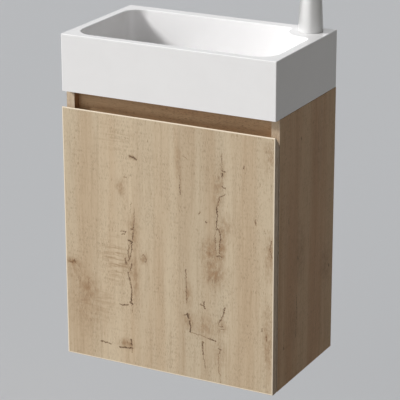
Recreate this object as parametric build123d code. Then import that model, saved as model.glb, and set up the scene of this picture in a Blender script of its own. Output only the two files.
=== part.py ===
from build123d import *
from math import atan2, cos, degrees, hypot, radians, sin, sqrt
import os

# Wall-hung vanity unit: a cast basin with a single-lever tap on a small oak-faced cabinet.
# Millimetres. X runs to the right, the wall is the plane Y = 0 with the room at -Y, and Z is up.
# The origin lies on the wall, midway between the two screws that the unit hangs from.

# Driving dimensions of the unit
unit_width = 400.0
basin_depth = 235.0
basin_height = 99.0
grip_gap = 27.0
door_height = 451.0
board = 15.0
door_proud = 2.0
door_gap = 1.5
sealant = 1.0
screw_drop = 45.0
# Play between pieces that slide, how far a cut runs past a face, and how close counts as touching
slip = 0.1
over = 1.0
near = 0.01

# Bowl, rims and casting walls
rim_left = 16.0
rim_right = 17.0
rim_front = 15.5
rim_back = 20.0
rim_least = 10.0
bowl_corner = 33.0
bowl_depth = 80.0
bowl_taper = 6.0
bowl_floor_round = 18.0
mouth_round = 2.0
outer_round = 1.5
skirt = 12.0
skirt_front = 10.0
skirt_back = 10.0
deck = 12.0
shell_wall = 8.0
shell_floor = 10.0
dish_depth = 2.5
dish_radius = 70.0
drain_radius = 22.5
drain_y = -120.0

# Tap place and the round deck lobe that carries it
tap_x = 162.7
tap_y = -26.1
lobe_x = 167.7
lobe_y = -32.6
lobe_radius = 39.0
lobe_blend_side = 14.0
lobe_blend_back = 12.5
tap_hole_radius = 17.5
tap_pocket_radius = 23.5

# Waste with its push plug
flange_radius = 31.0
flange_height = 2.5
flange_round = 1.2
top_seal = 1.0
top_seal_radius = 29.0
waste_radius = 20.9
waste_bore = 18.5
waste_end = -8.0
waste_grooves = (54.0, 60.0, 66.0)
waste_groove_depth = 0.7
waste_groove_height = 2.0
waste_play = 0.3
plug_radius = 29.5
plug_round = 3.0
plug_seal_outer = 27.0
plug_seal_inner = 21.0
plug_seal_height = 1.0
plug_cap_height = 4.5
plug_boss_radius = 8.0
plug_boss_depth = 3.0
plug_stem_radius = 3.0
plug_stem_rise = 2.0
plug_play = 0.05
spider_level = 30.0
spider_height = 6.0
spider_arm = 4.0
spider_hub_radius = 6.5
spider_bore = 4.0
plug_guide_radius = 6.0
plug_guide_gap = 4.0
plug_guide_tail = 3.0
lower_seal_height = 6.0
lower_seal_low_radius = 25.5
lower_seal_high_radius = 28.5
waste_nut_corner = 30.0
waste_nut_height = 9.0
waste_nut_collar = 2.0
waste_nut_collar_radius = 27.5

# Bottle trap
pipe_radius = 16.0
pipe_wall = 1.5
pipe_play = 0.3
pipe_end_length = 62.0
pipe_inner_radius = 15.0
pipe_inset = 4.0
trap_pipe_level = -77.0
trap_radius = 30.0
trap_wall = 3.0
trap_round = 5.0
trap_head_top = -62.0
trap_head_bottom = -99.0
trap_thread_radius = 27.8
trap_thread_height = 12.0
trap_thread_wall = 2.5
trap_side_port = 14.0
trap_neck_radius = 16.9
cup_bottom = -154.0
cup_seal_height = 1.9
cup_seal_seat = 2.0
cup_round = 10.0
cup_hollow_round = 8.0
cup_hex_corner = 13.0
cup_hex_height = 6.0
cup_flutes = 12
cup_flute_radius = 2.2
cup_flute_height = 16.0
dip_above_cup = 22.0
collar_height = 2.5
collar_radius = 20.6
socket_radius = 20.9
socket_length = 16.0
side_socket_length = 18.0
nut_radius = 26.0
nut_depth = 16.0
nut_lip = 4.0
nut_bevel = 1.2
nut_ribs = 10
nut_groove_radius = 2.4
nut_play = 0.2
washer_radius = 20.6
washer_thick = 1.6

# Tap
tap_base_radius = 21.5
tap_taper = 0.0535
tap_cone_height = 96.0
tap_top_round = 1.5
tap_foot_gap = 0.1
tap_foot_bevel = 0.4
tap_gasket = 1.0
tap_gasket_radius = 19.5
spout_angle = 210.0
spout_reach = 104.0
spout_root_height = 80.0
spout_tip_height = 78.0
spout_radius = 10.0
spout_root_extra = 1.5
spout_water_radius = 5.0
spout_mouth_drop = 12.0
spout_mouth_radius = 9.6
aerator_seat_radius = 8.6
aerator_radius = 8.5
aerator_bore = 6.2
aerator_height = 8.0
aerator_drop = 13.5
aerator_bars = (13.0, 1.0, 2.0)
inlet_offset = 7.5
inlet_radius = 4.6
inlet_depth = 14.0
inlet_way_radius = 3.0
inlet_gasket_play = 1.2
stud_along = -10.0
stud_radius = 3.9
stud_hang = 45.0
stud_depth = 13.0
stud_gasket_radius = 4.4
shoe_gasket_radius = 21.0
shoe_gasket_thick = 3.0
shoe_plate_radius = 20.5
shoe_plate_thick = 2.0
shoe_slot_length = 34.0
shoe_slot_width = 27.0
shoe_slot_along = 10.0
shoe_stud_radius = 4.3
stud_nut_corner = 7.5
stud_nut_height = 7.0
stud_nut_drop = 12.0

# Tap cartridge
cartridge_radius = 11.8
cartridge_depth = 34.0
cartridge_neck_radius = 9.0
cartridge_neck_height = 6.0
carrier_room_radius = 7.6
carrier_room_depth = 18.0
carrier_radius = 7.2
carrier_depth = 17.5
carrier_rise = 1.5
carrier_slot = (16.0, 7.8, 20.0)
carrier_slot_low = 12.0
port_inset = 0.8
port_radius = 2.5
port_depth = 6.0
clamp_radius = 13.4
clamp_thread_rise = 2.0
clamp_top_rise = 0.5
clamp_shoulder = 5.9
clamp_bore = 9.4
pin_radius = 0.98
pin_length = 13.6
pin_bore = 1.0
pin_bore_length = 18.0
stem_pin_bore = 1.03
stem_pin_bore_length = 20.0

# Tap lever
lever_centre = 106.0
lever_outer = 16.6
lever_inner = 13.8
lever_rim_rise = 2.5
lever_socket_radius = 6.5
lever_socket_low = 5.0
lever_socket_high = 15.0
lever_tilt = 12.0
lever_bar = (13.0, 5.0, 56.0)
lever_bar_round = 2.2
lever_bar_along = 9.0
lever_bar_rise = 10.5
stem_radius = 3.5
stem_drop = 8.0
stem_rise = 10.5
stem_seat = 11.0
lever_screw_rise = 8.5
lever_screw_radius = 2.4
lever_screw_length = 7.0
screw_way_radius = 2.5
screw_way_length = 25.0
cover_along = -12.6
cover_radius = 3.1
cover_length = 4.0

# Cabinet boards
carcass_band = 1.0
rail_top_height = 80.0
rail_bottom_height = 60.0
grip_rail_set_back = 31.0
wall_hole_spacing = 240.0
wall_hole_radius = 4.1
shelf_top = -234.0
shelf_front_gap = 12.0
shelf_back_gap = 20.0
shelf_side_gap = 0.5
bead_side = 2.0
bead_end = 4.0

# Cam fittings, dowels and shelf pins
cam_radius = 7.5
cam_height = 12.5
cam_reach = 24.0
cam_mouth = 3.7
cam_mouth_start = 4.5
cam_mouth_length = 20.0
cam_notch_length = 7.0
cam_notch_width = 1.6
cam_notch_depth = 2.0
cam_notch_inset = 0.6
bolt_thread_radius = 3.4
bolt_thread_depth = 10.5
bolt_thread_length = 12.0
bolt_shank_radius = 2.6
bolt_shank_short = 3.0
bolt_head_radius = 3.5
bolt_head_length = 3.5
bolt_way_radius = 3.8
bolt_hole_depth = 11.2
dowel_radius = 4.0
dowel_length = 30.0
dowel_inset = 20.0
dowel_end_room = 0.5
bottom_cam_rows = (-175.0, -55.0)
bottom_dowel_rows = (-143.0, -87.0)
rail_cam_drop = 50.0
rail_dowel_drop = 22.0
low_rail_cam_rise = 20.0
low_rail_dowel_rise = 44.0
shelf_pin_rows = (-185.0, -50.0)
shelf_pin_step = 32.0
shelf_pin_radius = 2.5
shelf_pin_length = 18.0
shelf_pin_inset = 8.0
shelf_pin_hole = 10.5
shelf_pin_collar_radius = 3.6
shelf_pin_collar = 1.4
shelf_pin_collar_inset = 1.5
shelf_pin_flat = 9.0

# Door leaf: its top leans back from a narrow flat, so that fingers can pull it
door_band = 2.0
grip_flat = 1.5
arris_round = 0.8
door_back_bevel = 1.5
bumper_radius = 4.5
bumper_thick = 1.2
bumper_round = 0.5
bumper_from_end = 35.0

# Door hinges, in the door's own plan: u from its left edge, v from its front face
hinge_from_edge = 100.0
door_axis_u = 6.0
door_axis_v = 6.0
door_opening = 105.0
cup_u = 20.5
cup_radius = 17.5
cup_wall = 1.2
cup_sunk = 11.8
cup_hole_play = 0.2
cup_lip = 1.1
flange_sheet = 1.0
flange_half_width = 6.5
flange_ear = 6.0
flange_clear_of_edge = 4.0
cup_screw_step = 22.5
cup_screw_aside = 9.5
cup_screw_play = 1.9
link_pin_u = 9.5
link_pin_v = 12.5
link_knee = (15.5, 8.8)
link_ends = (3.0, 1.5, 1.7)
link_half_width = 6.0
link_half_thick = 1.5
arm_pivot_reach = 23.0
hinge_pin_radius = 1.5
running = 0.05
ear_gap = 0.5
sheet = 1.5
ear_radius = 3.2
arm_section = (
    (31.9, 9.7), (31.9, 24.0), (26.0, 31.0), (26.0, 80.0),
    (21.0, 80.0), (21.0, 28.0), (25.5, 21.0), (25.5, 9.7),
)
arm_nose = ((24.0, 5.0), (34.0, 14.0))
arm_tail = ((19.0, 78.0), (24.5, 82.0))
arm_face_u = 26.0
arm_screw_v = 66.0
arm_screw_hole = 2.6
plate_behind_door = 38.5
plate_thick = 2.0
plate_half_height = 24.0
plate_half_depth = 8.0
plate_corner = 5.0
plate_block_rise = 8.0
plate_block_ahead = 10.0
plate_block_behind = 22.0
plate_block_half = 6.2
plate_screw_step = 16.0
plate_screw_hole = 2.6
arm_screw_bore = 2.5
arm_screw_bore_start = 1.5

# Hinge screws: shank radius and length, head radius and height, bevel of the head
cup_screw = (1.75, 12.0, 3.6, 1.8, 0.6)
plate_screw = (2.4, 12.5, 4.2, 2.2, 0.7)
arm_screw = (2.4, 7.5, 3.9, 2.0, 0.6)
cup_screw_hole = (1.85, 11.5)
plate_screw_pilot = (2.5, 11.5)

# Levels and planes that follow from the driving dimensions
left = -unit_width / 2
right = unit_width / 2
front = -basin_depth
carcass_top = screw_drop
boards_top = carcass_top - sealant
basin_top = carcass_top + basin_height
door_top = carcass_top - grip_gap
door_bottom = door_top - door_height
door_front = front - door_proud
door_back = door_front + board
carcass_front = door_back + door_gap
inner_left = left + board
inner_right = right - board
grip_rail_front = front + grip_rail_set_back - door_proud
bowl_floor = basin_top - bowl_depth
drain_floor = bowl_floor - dish_depth
basin_underside = bowl_floor - shell_floor
flange_top = drain_floor + top_seal + flange_height
lower_wall_holes = door_bottom + board + rail_bottom_height / 2
shelf_pin_level = shelf_top - board - shelf_pin_radius - slip
side_socket_start = drain_y + trap_radius - 2
side_socket_end = side_socket_start + side_socket_length
plate_screw_v = board + plate_behind_door
hinge_levels = {"upper": door_top - hinge_from_edge, "lower": door_bottom + hinge_from_edge}

parts = {}


def keep(name, *solids):
    """Store the solids of one node under its name."""
    parts[name] = list(solids)


def block(x, y, z):
    """Box between two limits on each axis."""
    size = [abs(pair[1] - pair[0]) for pair in (x, y, z)]
    return Pos(sum(x) / 2, sum(y) / 2, sum(z) / 2) * Box(*size)


def rod(start, direction, radius, length):
    """Cylinder that starts at a point and runs along a direction."""
    return Plane(origin=start, z_dir=direction) * Cylinder(
        radius, length, align=(Align.CENTER, Align.CENTER, Align.MIN)
    )


def bore(start, direction, radius, depth):
    """Round cut that starts just clear of a face and runs to a depth behind it."""
    clear = Vector(*start) - Vector(*direction) * over
    return rod(tuple(clear), direction, radius, depth + over)


def ring(start, direction, outer, inner, length):
    """Tube or washer along a direction."""
    return rod(start, direction, outer, length) - bore(start, direction, inner, length + over)


def upright(x, y, low, high, radius):
    """Vertical cylinder between two levels."""
    return rod((x, y, low), (0, 0, 1), radius, high - low)


def passage(x, y, low, high, radius):
    """Vertical round cut that runs just past both of its levels."""
    return upright(x, y, low - over, high + over, radius)


def prism(points, low, high):
    """Vertical prism over a closed outline in plan."""
    face = make_face(Polyline(*points, close=True))
    return extrude(Pos(0, 0, low) * face, amount=high - low)


def cone(start, direction, low_radius, high_radius, length):
    """Tapered rod along a direction."""
    return Plane(origin=start, z_dir=direction) * Cone(
        low_radius, high_radius, length, align=(Align.CENTER, Align.CENTER, Align.MIN)
    )


def around(x, y, reach):
    """Square in plan round a point, as limits on X and Y."""
    return (x - reach, x + reach), (y - reach, y + reach)


# Basin

def bowl_outline(grow):
    """Rim of the bowl in plan, grown outwards: a rounded oblong less the round tap deck."""
    x_low = left + rim_left - grow
    x_high = right - rim_right + grow
    y_low = front + rim_front - grow
    y_high = -rim_back + grow
    oblong = Pos((x_low + x_high) / 2, (y_low + y_high) / 2) * RectangleRounded(
        x_high - x_low, y_high - y_low, bowl_corner + grow
    )
    cut = oblong - Pos(lobe_x, lobe_y) * Circle(lobe_radius - grow)
    outline = Sketch() + cut.faces()[0]
    for end, blend in ((0, lobe_blend_side), (-1, lobe_blend_back)):
        corners = [
            corner for corner in outline.vertices().sort_by(Axis.Y)
            if abs(hypot(corner.X - lobe_x, corner.Y - lobe_y) - lobe_radius + grow) < near
        ]
        outline = fillet(corners[end], blend)
    return outline


def bowl_form(grow, depth):
    """Drafted body of the bowl, hanging from the basin's top."""
    body = extrude(Pos(0, 0, basin_top) * bowl_outline(grow), amount=-depth, taper=bowl_taper)
    floor = body.faces().sort_by(Axis.Z)[0]
    return fillet(floor.edges(), bowl_floor_round)


def make_basin():
    """Cast basin: bowl and deck above, open and hollow below, standing on its skirt."""
    body = block((left, right), (front, 0), (carcass_top, basin_top))
    outside = body.edges().filter_by(Axis.Z) + body.edges().group_by(Axis.Z)[-1]
    body = fillet(outside, outer_round)
    pocket = block(
        (left + skirt, right - skirt), (front + skirt_front, -skirt_back),
        (carcass_top - over, basin_top - deck),
    )
    pocket += upright(tap_x, tap_y, carcass_top - over, basin_top - deck, tap_pocket_radius)
    pocket -= bowl_form(shell_wall, bowl_depth + shell_floor)
    body -= pocket
    body -= bowl_form(0, bowl_depth)
    mouth = [
        edge for edge in body.edges().group_by(Axis.Z)[-1]
        if abs(edge.center().Y + basin_depth / 2) < basin_depth / 2 - rim_least
        and abs(edge.center().X) < unit_width / 2 - rim_least
    ]
    body = fillet(mouth, mouth_round)
    body -= cone(
        (0, drain_y, drain_floor), (0, 0, 1), flange_radius + over, dish_radius, dish_depth
    )
    body -= upright(0, drain_y, basin_underside - over, bowl_floor, drain_radius)
    body -= passage(tap_x, tap_y, basin_top - deck, basin_top, tap_hole_radius)
    return body


# Waste with its push plug

def make_waste_tube():
    """Flanged waste tube with the spider that guides its plug."""
    seal_top = drain_floor + top_seal
    body = upright(0, drain_y, seal_top, flange_top, flange_radius)
    body = fillet(body.edges().group_by(Axis.Z)[-1], flange_round)
    body += upright(0, drain_y, waste_end, seal_top, waste_radius)
    body -= passage(0, drain_y, waste_end, flange_top, waste_bore)
    for drop in waste_grooves:
        body -= ring(
            (0, drain_y, seal_top - drop), (0, 0, 1),
            waste_radius + over, waste_radius - waste_groove_depth, waste_groove_height,
        )
    spider_top = spider_level + spider_height
    for turn in (0, 90):
        bar = Pos(0, drain_y, spider_level + spider_height / 2) * Rot(0, 0, turn)
        body += bar * Box(2 * waste_bore + over, spider_arm, spider_height)
    body += upright(0, drain_y, spider_level, spider_top, spider_hub_radius)
    body -= passage(0, drain_y, spider_level, spider_top, spider_bore)
    keep("waste_body", body)

    guide = upright(0, drain_y, spider_top, flange_top - plug_guide_gap, plug_guide_radius)
    guide += upright(
        0, drain_y, spider_level - plug_guide_tail, spider_top, spider_bore - slip
    )
    guide -= upright(
        0, drain_y, spider_level - over, flange_top, plug_stem_radius + plug_play
    )
    keep("plug_cartridge", guide)


def make_plug():
    """Push plug with its stem and the seal that it carries."""
    cap_low = flange_top + plug_seal_height
    cap = upright(0, drain_y, cap_low, cap_low + plug_cap_height, plug_radius)
    cap = fillet(cap.edges().group_by(Axis.Z)[-1], plug_round)
    boss_low = flange_top - plug_boss_depth
    cap += upright(0, drain_y, boss_low, cap_low, plug_boss_radius)
    cap += upright(0, drain_y, spider_level + plug_stem_rise, boss_low, plug_stem_radius)
    keep("waste_plug", cap)
    keep("plug_seal", ring(
        (0, drain_y, flange_top), (0, 0, 1), plug_seal_outer, plug_seal_inner, plug_seal_height
    ))


def make_waste_seals():
    """Seals above and below the basin's floor, and the nut that pulls them tight."""
    clear = waste_radius + waste_play
    upper = ring((0, drain_y, drain_floor), (0, 0, 1), top_seal_radius, clear, top_seal)
    seal_low = basin_underside - lower_seal_height
    lower = cone(
        (0, drain_y, seal_low), (0, 0, 1),
        lower_seal_low_radius, lower_seal_high_radius, lower_seal_height,
    )
    lower -= passage(0, drain_y, seal_low, basin_underside, clear)
    keep("waste_gaskets", upper, lower)
    nut_low = seal_low - waste_nut_height
    collar_low = seal_low - waste_nut_collar
    nut = extrude(
        Pos(0, drain_y, nut_low) * RegularPolygon(waste_nut_corner, 6), amount=collar_low - nut_low
    )
    nut += upright(0, drain_y, collar_low, seal_low, waste_nut_collar_radius)
    nut -= passage(0, drain_y, nut_low, seal_low, waste_radius + slip)
    keep("waste_nut", nut)


# Bottle trap

def slip_nut(start, direction, length, bore_radius):
    """Ribbed plastic nut: threaded skirt from the start, with a lip round the pipe at its end."""
    place = Plane(origin=start, z_dir=direction)
    whole = length + nut_lip
    body = rod(start, direction, nut_radius, whole)
    body = chamfer(body.edges().filter_by(GeomType.CIRCLE), nut_bevel)
    for index in range(nut_ribs):
        angle = radians(360 / nut_ribs * index)
        groove = Pos(nut_radius * cos(angle), nut_radius * sin(angle), whole / 2)
        body -= place * groove * Cylinder(nut_groove_radius, whole + 2 * over)
    body -= bore(start, direction, socket_radius + slip, length)
    body -= bore(start, direction, bore_radius + nut_play, whole + over)
    return body


def make_trap_head():
    """Head of the trap: socket for the dip tube, side socket and threaded skirt."""
    head = upright(0, drain_y, trap_head_bottom, trap_head_top, trap_radius)
    head = fillet(head.edges().group_by(Axis.Z)[-1], trap_round)
    head += upright(0, drain_y, trap_head_top, trap_head_top + socket_length, socket_radius)
    skirt_low = trap_head_bottom - trap_thread_height
    head += upright(0, drain_y, skirt_low, trap_head_bottom, trap_thread_radius)
    neck_start = side_socket_start - trap_thread_height / 2
    head += rod(
        (0, neck_start, trap_pipe_level), (0, 1, 0), trap_neck_radius, trap_thread_height
    )
    head += rod(
        (0, side_socket_start, trap_pipe_level), (0, 1, 0),
        socket_radius - slip, side_socket_length,
    )
    head -= upright(
        0, drain_y, skirt_low - over, trap_head_top - trap_wall,
        trap_thread_radius - trap_thread_wall,
    )
    head -= passage(
        0, drain_y, trap_head_top - trap_wall, trap_head_top + socket_length,
        pipe_radius + pipe_play,
    )
    reach = side_socket_end - drain_y
    head -= rod(
        (0, drain_y, trap_pipe_level), (0, 1, 0), trap_side_port, reach + over
    )
    head -= rod(
        (0, side_socket_start + 2, trap_pipe_level), (0, 1, 0),
        pipe_inner_radius + pipe_play, side_socket_length,
    )
    keep("trap_body", head)


def make_trap_cup():
    """Screw cup at the foot of the trap with its seal."""
    cup_high = trap_head_bottom - slip - cup_seal_seat
    cup = upright(0, drain_y, cup_bottom, cup_high, trap_radius + over)
    cup = fillet(cup.edges().group_by(Axis.Z)[0], cup_round)
    cup += extrude(
        Pos(0, drain_y, cup_bottom - cup_hex_height) * RegularPolygon(cup_hex_corner, 6),
        amount=cup_hex_height + 2,
    )
    cup -= upright(
        0, drain_y, cup_high - trap_thread_height, cup_high + over, trap_thread_radius + slip
    )
    hollow = upright(0, drain_y, cup_bottom + trap_wall, cup_high, trap_radius - trap_wall)
    cup -= fillet(hollow.edges().group_by(Axis.Z)[0], cup_hollow_round)
    flute_reach = trap_radius + cup_flute_radius
    for index in range(cup_flutes):
        angle = radians(360 / cup_flutes * index)
        cup -= upright(
            flute_reach * cos(angle), drain_y + flute_reach * sin(angle),
            cup_high - cup_flute_height, cup_high + over, cup_flute_radius,
        )
    keep("trap_cup", cup)
    keep("trap_cup_seal", ring(
        (0, drain_y, cup_high), (0, 0, 1),
        trap_radius - trap_wall / 6, trap_thread_radius + slip, cup_seal_height,
    ))


def make_trap_pipes():
    """Dip tube under the waste and the pipe that runs back to the wall, wider at its free end."""
    collar_top = waste_end - washer_thick
    dip_end = cup_bottom + dip_above_cup
    tube = upright(0, drain_y, dip_end, collar_top, pipe_radius)
    tube += upright(0, drain_y, collar_top - collar_height, collar_top, collar_radius)
    tube -= passage(0, drain_y, dip_end, collar_top, pipe_radius - pipe_wall)
    keep("trap_inlet_tube", tube)

    inner_start = side_socket_start + pipe_inset
    outlet = rod(
        (0, inner_start, trap_pipe_level), (0, 1, 0), pipe_inner_radius, -inner_start
    )
    outlet += rod((0, -pipe_end_length, trap_pipe_level), (0, 1, 0), pipe_radius, pipe_end_length)
    outlet -= bore(
        (0, inner_start, trap_pipe_level), (0, 1, 0),
        pipe_inner_radius - pipe_wall, -inner_start + over,
    )
    outlet -= rod(
        (0, -pipe_end_length + pipe_wall, trap_pipe_level), (0, 1, 0),
        pipe_radius - pipe_wall, pipe_end_length,
    )
    keep("trap_outlet_pipe", outlet)


def make_trap_nuts():
    """Three slip nuts of the trap and the washers that they press."""
    collar_top = waste_end - washer_thick
    socket_top = trap_head_top + socket_length
    keep(
        "trap_slip_washers",
        ring((0, drain_y, collar_top), (0, 0, 1), washer_radius, waste_bore, washer_thick),
        ring(
            (0, drain_y, socket_top), (0, 0, 1), washer_radius, pipe_radius + slip, washer_thick
        ),
        ring(
            (0, side_socket_end, trap_pipe_level), (0, 1, 0),
            washer_radius, pipe_inner_radius + slip, washer_thick,
        ),
    )
    collar_low = collar_top - collar_height
    short = nut_depth - over
    keep(
        "trap_slip_nuts",
        slip_nut((0, drain_y, collar_low + nut_depth), (0, 0, -1), nut_depth, pipe_radius),
        slip_nut((0, drain_y, socket_top + washer_thick - short), (0, 0, 1), short, pipe_radius),
        slip_nut(
            (0, side_socket_end + washer_thick - short, trap_pipe_level), (0, 1, 0),
            short, pipe_inner_radius,
        ),
    )


# Tap

def tap_point(along, height, across=0.0):
    """Point in the tap's vertical plane: distance along the spout, height above the deck."""
    turn = radians(spout_angle)
    x = tap_x + along * cos(turn) - across * sin(turn)
    y = tap_y + along * sin(turn) + across * cos(turn)
    return (x, y, basin_top + height)


def tap_direction(along, height):
    """Direction in the tap's vertical plane."""
    turn = radians(spout_angle)
    return (along * cos(turn), along * sin(turn), height)


def lift_axis():
    """Horizontal direction square to the spout: turning about it lifts the lever's end."""
    turn = radians(spout_angle)
    return (sin(turn), -cos(turn), 0)


def spout_form():
    """Spout from the tap's body to its tip, with the round mouth below the tip."""
    drop = spout_tip_height - spout_root_height
    way = tap_direction(spout_reach, drop)
    spout = cone(
        tap_point(0, spout_root_height), way,
        spout_radius + spout_root_extra, spout_radius, hypot(spout_reach, drop),
    )
    x, y, level = tap_point(spout_reach, spout_tip_height)
    spout += Pos(x, y, level) * Sphere(spout_radius)
    return spout + upright(x, y, level - spout_mouth_drop, level, spout_mouth_radius)


def spout_water_way():
    """Water way through the spout and the seat of its aerator."""
    drop = spout_tip_height - spout_root_height
    way = tap_direction(spout_reach, drop)
    cut = rod(
        tap_point(0, spout_root_height), way, spout_water_radius, hypot(spout_reach, drop)
    )
    x, y, level = tap_point(spout_reach, spout_tip_height)
    seat = level - aerator_drop + aerator_height + slip * 5
    cut += upright(x, y, level - aerator_drop, seat, aerator_seat_radius)
    return cut + upright(x, y, seat - over, level, spout_water_radius)


def make_tap_body():
    """Tap casting: cone, spout, cartridge cavity, inlets, stud hole and the gasket's recess."""
    foot = basin_top + tap_foot_gap
    seat = basin_top + tap_gasket
    top = basin_top + tap_cone_height
    top_radius = tap_base_radius - tap_taper * tap_cone_height
    body = cone((tap_x, tap_y, foot), (0, 0, 1), tap_base_radius, top_radius, top - foot)
    body = fillet(body.edges().group_by(Axis.Z)[-1], tap_top_round)
    body = chamfer(body.edges().group_by(Axis.Z)[0], tap_foot_bevel)
    body += spout_form()
    body -= spout_water_way()
    body -= upright(tap_x, tap_y, foot - over, seat, tap_gasket_radius + slip)
    cavity_floor = top - cartridge_depth
    body -= upright(tap_x, tap_y, cavity_floor, top + over, cartridge_radius + slip)
    for across in (-inlet_offset, inlet_offset):
        x, y, _ = tap_point(0, 0, across)
        body -= upright(x, y, seat - over, seat + inlet_depth, inlet_radius)
        body -= upright(x, y, seat + inlet_depth - over, cavity_floor + over, inlet_way_radius)
    x, y, _ = tap_point(stud_along, 0)
    body -= upright(x, y, seat - over, seat + stud_depth + over, stud_radius + slip)
    keep("tap_body", body)


def make_tap_fittings():
    """Aerator, base gasket, and the stud with the horseshoe that clamps the tap."""
    x, y, level = tap_point(spout_reach, spout_tip_height)
    low = level - aerator_drop
    aerator = ring((x, y, low), (0, 0, 1), aerator_radius, aerator_bore, aerator_height)
    for turn in range(0, 180, 45):
        aerator += Pos(x, y, low + aerator_height / 2) * Rot(0, 0, turn) * Box(*aerator_bars)
    keep("tap_aerator", aerator)

    seat = basin_top + tap_gasket
    x, y, _ = tap_point(stud_along, 0)
    gasket = upright(tap_x, tap_y, basin_top, seat, tap_gasket_radius)
    for across in (-inlet_offset, inlet_offset):
        spot = tap_point(0, 0, across)
        gasket -= passage(spot[0], spot[1], basin_top, seat, inlet_radius + inlet_gasket_play)
    gasket -= passage(x, y, basin_top, seat, stud_gasket_radius)
    keep("tap_base_gasket", gasket)

    under = basin_top - deck
    keep("tap_stud", upright(x, y, under - stud_hang, seat + stud_depth, stud_radius))
    plate_high = under - shoe_gasket_thick
    keep("tap_horseshoe_gasket", horseshoe(plate_high, shoe_gasket_thick, shoe_gasket_radius))
    keep(
        "tap_horseshoe_plate",
        horseshoe(plate_high - shoe_plate_thick, shoe_plate_thick, shoe_plate_radius),
    )
    nut_low = under - stud_nut_drop
    nut = extrude(Pos(x, y, nut_low) * RegularPolygon(stud_nut_corner, 6), amount=stud_nut_height)
    nut -= passage(x, y, nut_low, nut_low + stud_nut_height, stud_radius + slip)
    keep("tap_stud_nut", nut)


def horseshoe(low, thick, radius):
    """Washer slotted for the hoses, with the hole for the stud."""
    washer = upright(tap_x, tap_y, low, low + thick, radius)
    middle = tap_point(shoe_slot_along, 0)
    slot = Pos(middle[0], middle[1], low + thick / 2) * Rot(0, 0, spout_angle)
    washer -= slot * Box(shoe_slot_length, shoe_slot_width, thick + 2 * over)
    stud = tap_point(stud_along, 0)
    washer -= passage(stud[0], stud[1], low, low + thick, shoe_stud_radius)
    return washer.solids().sort_by(SortBy.VOLUME)[-1]


def make_cartridge():
    """Mixing cartridge in the tap's neck: housing, clamping ring, and the turning carrier."""
    top = basin_top + tap_cone_height
    low = top - cartridge_depth + 2 * slip
    centre = basin_top + lever_centre
    neck_low = top - cartridge_neck_height
    neck_high = centre - cartridge_neck_height
    housing = upright(tap_x, tap_y, low, neck_low, cartridge_radius)
    housing += upright(tap_x, tap_y, neck_low, neck_high, cartridge_neck_radius)
    housing -= upright(tap_x, tap_y, top - carrier_room_depth, centre, carrier_room_radius)
    for across in (-inlet_offset, inlet_offset):
        x, y, _ = tap_point(0, 0, across * port_inset)
        housing -= upright(x, y, low - over, low + port_depth, port_radius)
    keep("cartridge_housing", housing)

    wide = around(tap_x, tap_y, 2 * clamp_radius)
    clamp = Pos(tap_x, tap_y, centre) * Sphere(clamp_radius)
    clamp += upright(tap_x, tap_y, neck_low, top + clamp_thread_rise, cartridge_radius - 2 * slip)
    clamp -= block(*wide, (centre + clamp_top_rise, centre + 2 * clamp_radius))
    clamp -= block(*wide, (top - 2 * clamp_radius, top - clamp_shoulder))
    clamp -= upright(
        tap_x, tap_y, neck_low - 4 * over, centre - clamp_shoulder, cartridge_neck_radius + slip
    )
    clamp -= upright(tap_x, tap_y, neck_high - over / 2, centre + clamp_radius, clamp_bore)
    keep("cartridge_nut", clamp)

    carrier = upright(tap_x, tap_y, top - carrier_depth, centre + carrier_rise, carrier_radius)
    slot_middle = centre - carrier_slot_low + carrier_slot[2] / 2
    carrier -= Pos(tap_x, tap_y, slot_middle) * Rot(0, 0, spout_angle) * Box(*carrier_slot)
    way = lift_axis()
    bore_start = tap_point(0, lever_centre, pin_bore_length / 2)
    carrier -= rod(bore_start, way, pin_bore, pin_bore_length)
    keep("stem_carrier", carrier)
    pin_start = tap_point(0, lever_centre, pin_length / 2)
    keep("carrier_pin", rod(pin_start, way, pin_radius, pin_length))


def make_lever():
    """Lever with its domed cap, the stem it sits on, and its hidden grub screw and cover."""
    centre = basin_top + lever_centre
    dome = Pos(tap_x, tap_y, centre) * Sphere(lever_outer)
    dome -= Pos(tap_x, tap_y, centre) * Sphere(lever_inner)
    wide = around(tap_x, tap_y, 2 * lever_outer)
    dome -= block(*wide, (centre - 2 * lever_outer, centre + lever_rim_rise))
    socket = upright(
        tap_x, tap_y, centre + lever_socket_low, centre + lever_socket_high, lever_socket_radius
    )
    tilt = radians(lever_tilt)
    start = Vector(*tap_point(lever_bar_along, lever_centre + lever_bar_rise))
    paddle = Plane(
        origin=start, x_dir=lift_axis(), z_dir=tap_direction(cos(tilt), sin(tilt))
    )
    bar = paddle * Pos(0, 0, lever_bar[2] / 2) * Box(*lever_bar)
    bar = fillet(bar.edges(), lever_bar_round)
    lever = dome + socket + bar
    lever -= upright(tap_x, tap_y, centre - over, centre + stem_seat, stem_radius + slip)
    screw_level = lever_centre + lever_screw_rise
    back_way = tap_direction(-1, 0)
    lever -= rod(tap_point(0, screw_level), back_way, screw_way_radius, screw_way_length)
    cover_start = tap_point(cover_along, screw_level)
    lever -= rod(cover_start, back_way, cover_radius + slip, lever_outer)
    keep("tap_lever", lever)
    stem = upright(tap_x, tap_y, centre - stem_drop, centre + stem_rise, stem_radius)
    stem -= rod(
        tap_point(0, lever_centre, stem_pin_bore_length / 2), lift_axis(),
        stem_pin_bore, stem_pin_bore_length,
    )
    keep("lever_stem", stem)
    screw_start = tap_point(-stem_radius - slip, screw_level)
    keep("lever_screw", rod(screw_start, back_way, lever_screw_radius, lever_screw_length))
    cover = rod(cover_start, back_way, cover_radius, cover_length)
    keep("lever_screw_cover", cover & Pos(tap_x, tap_y, centre) * Sphere(lever_outer))


# Cabinet boards

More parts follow.
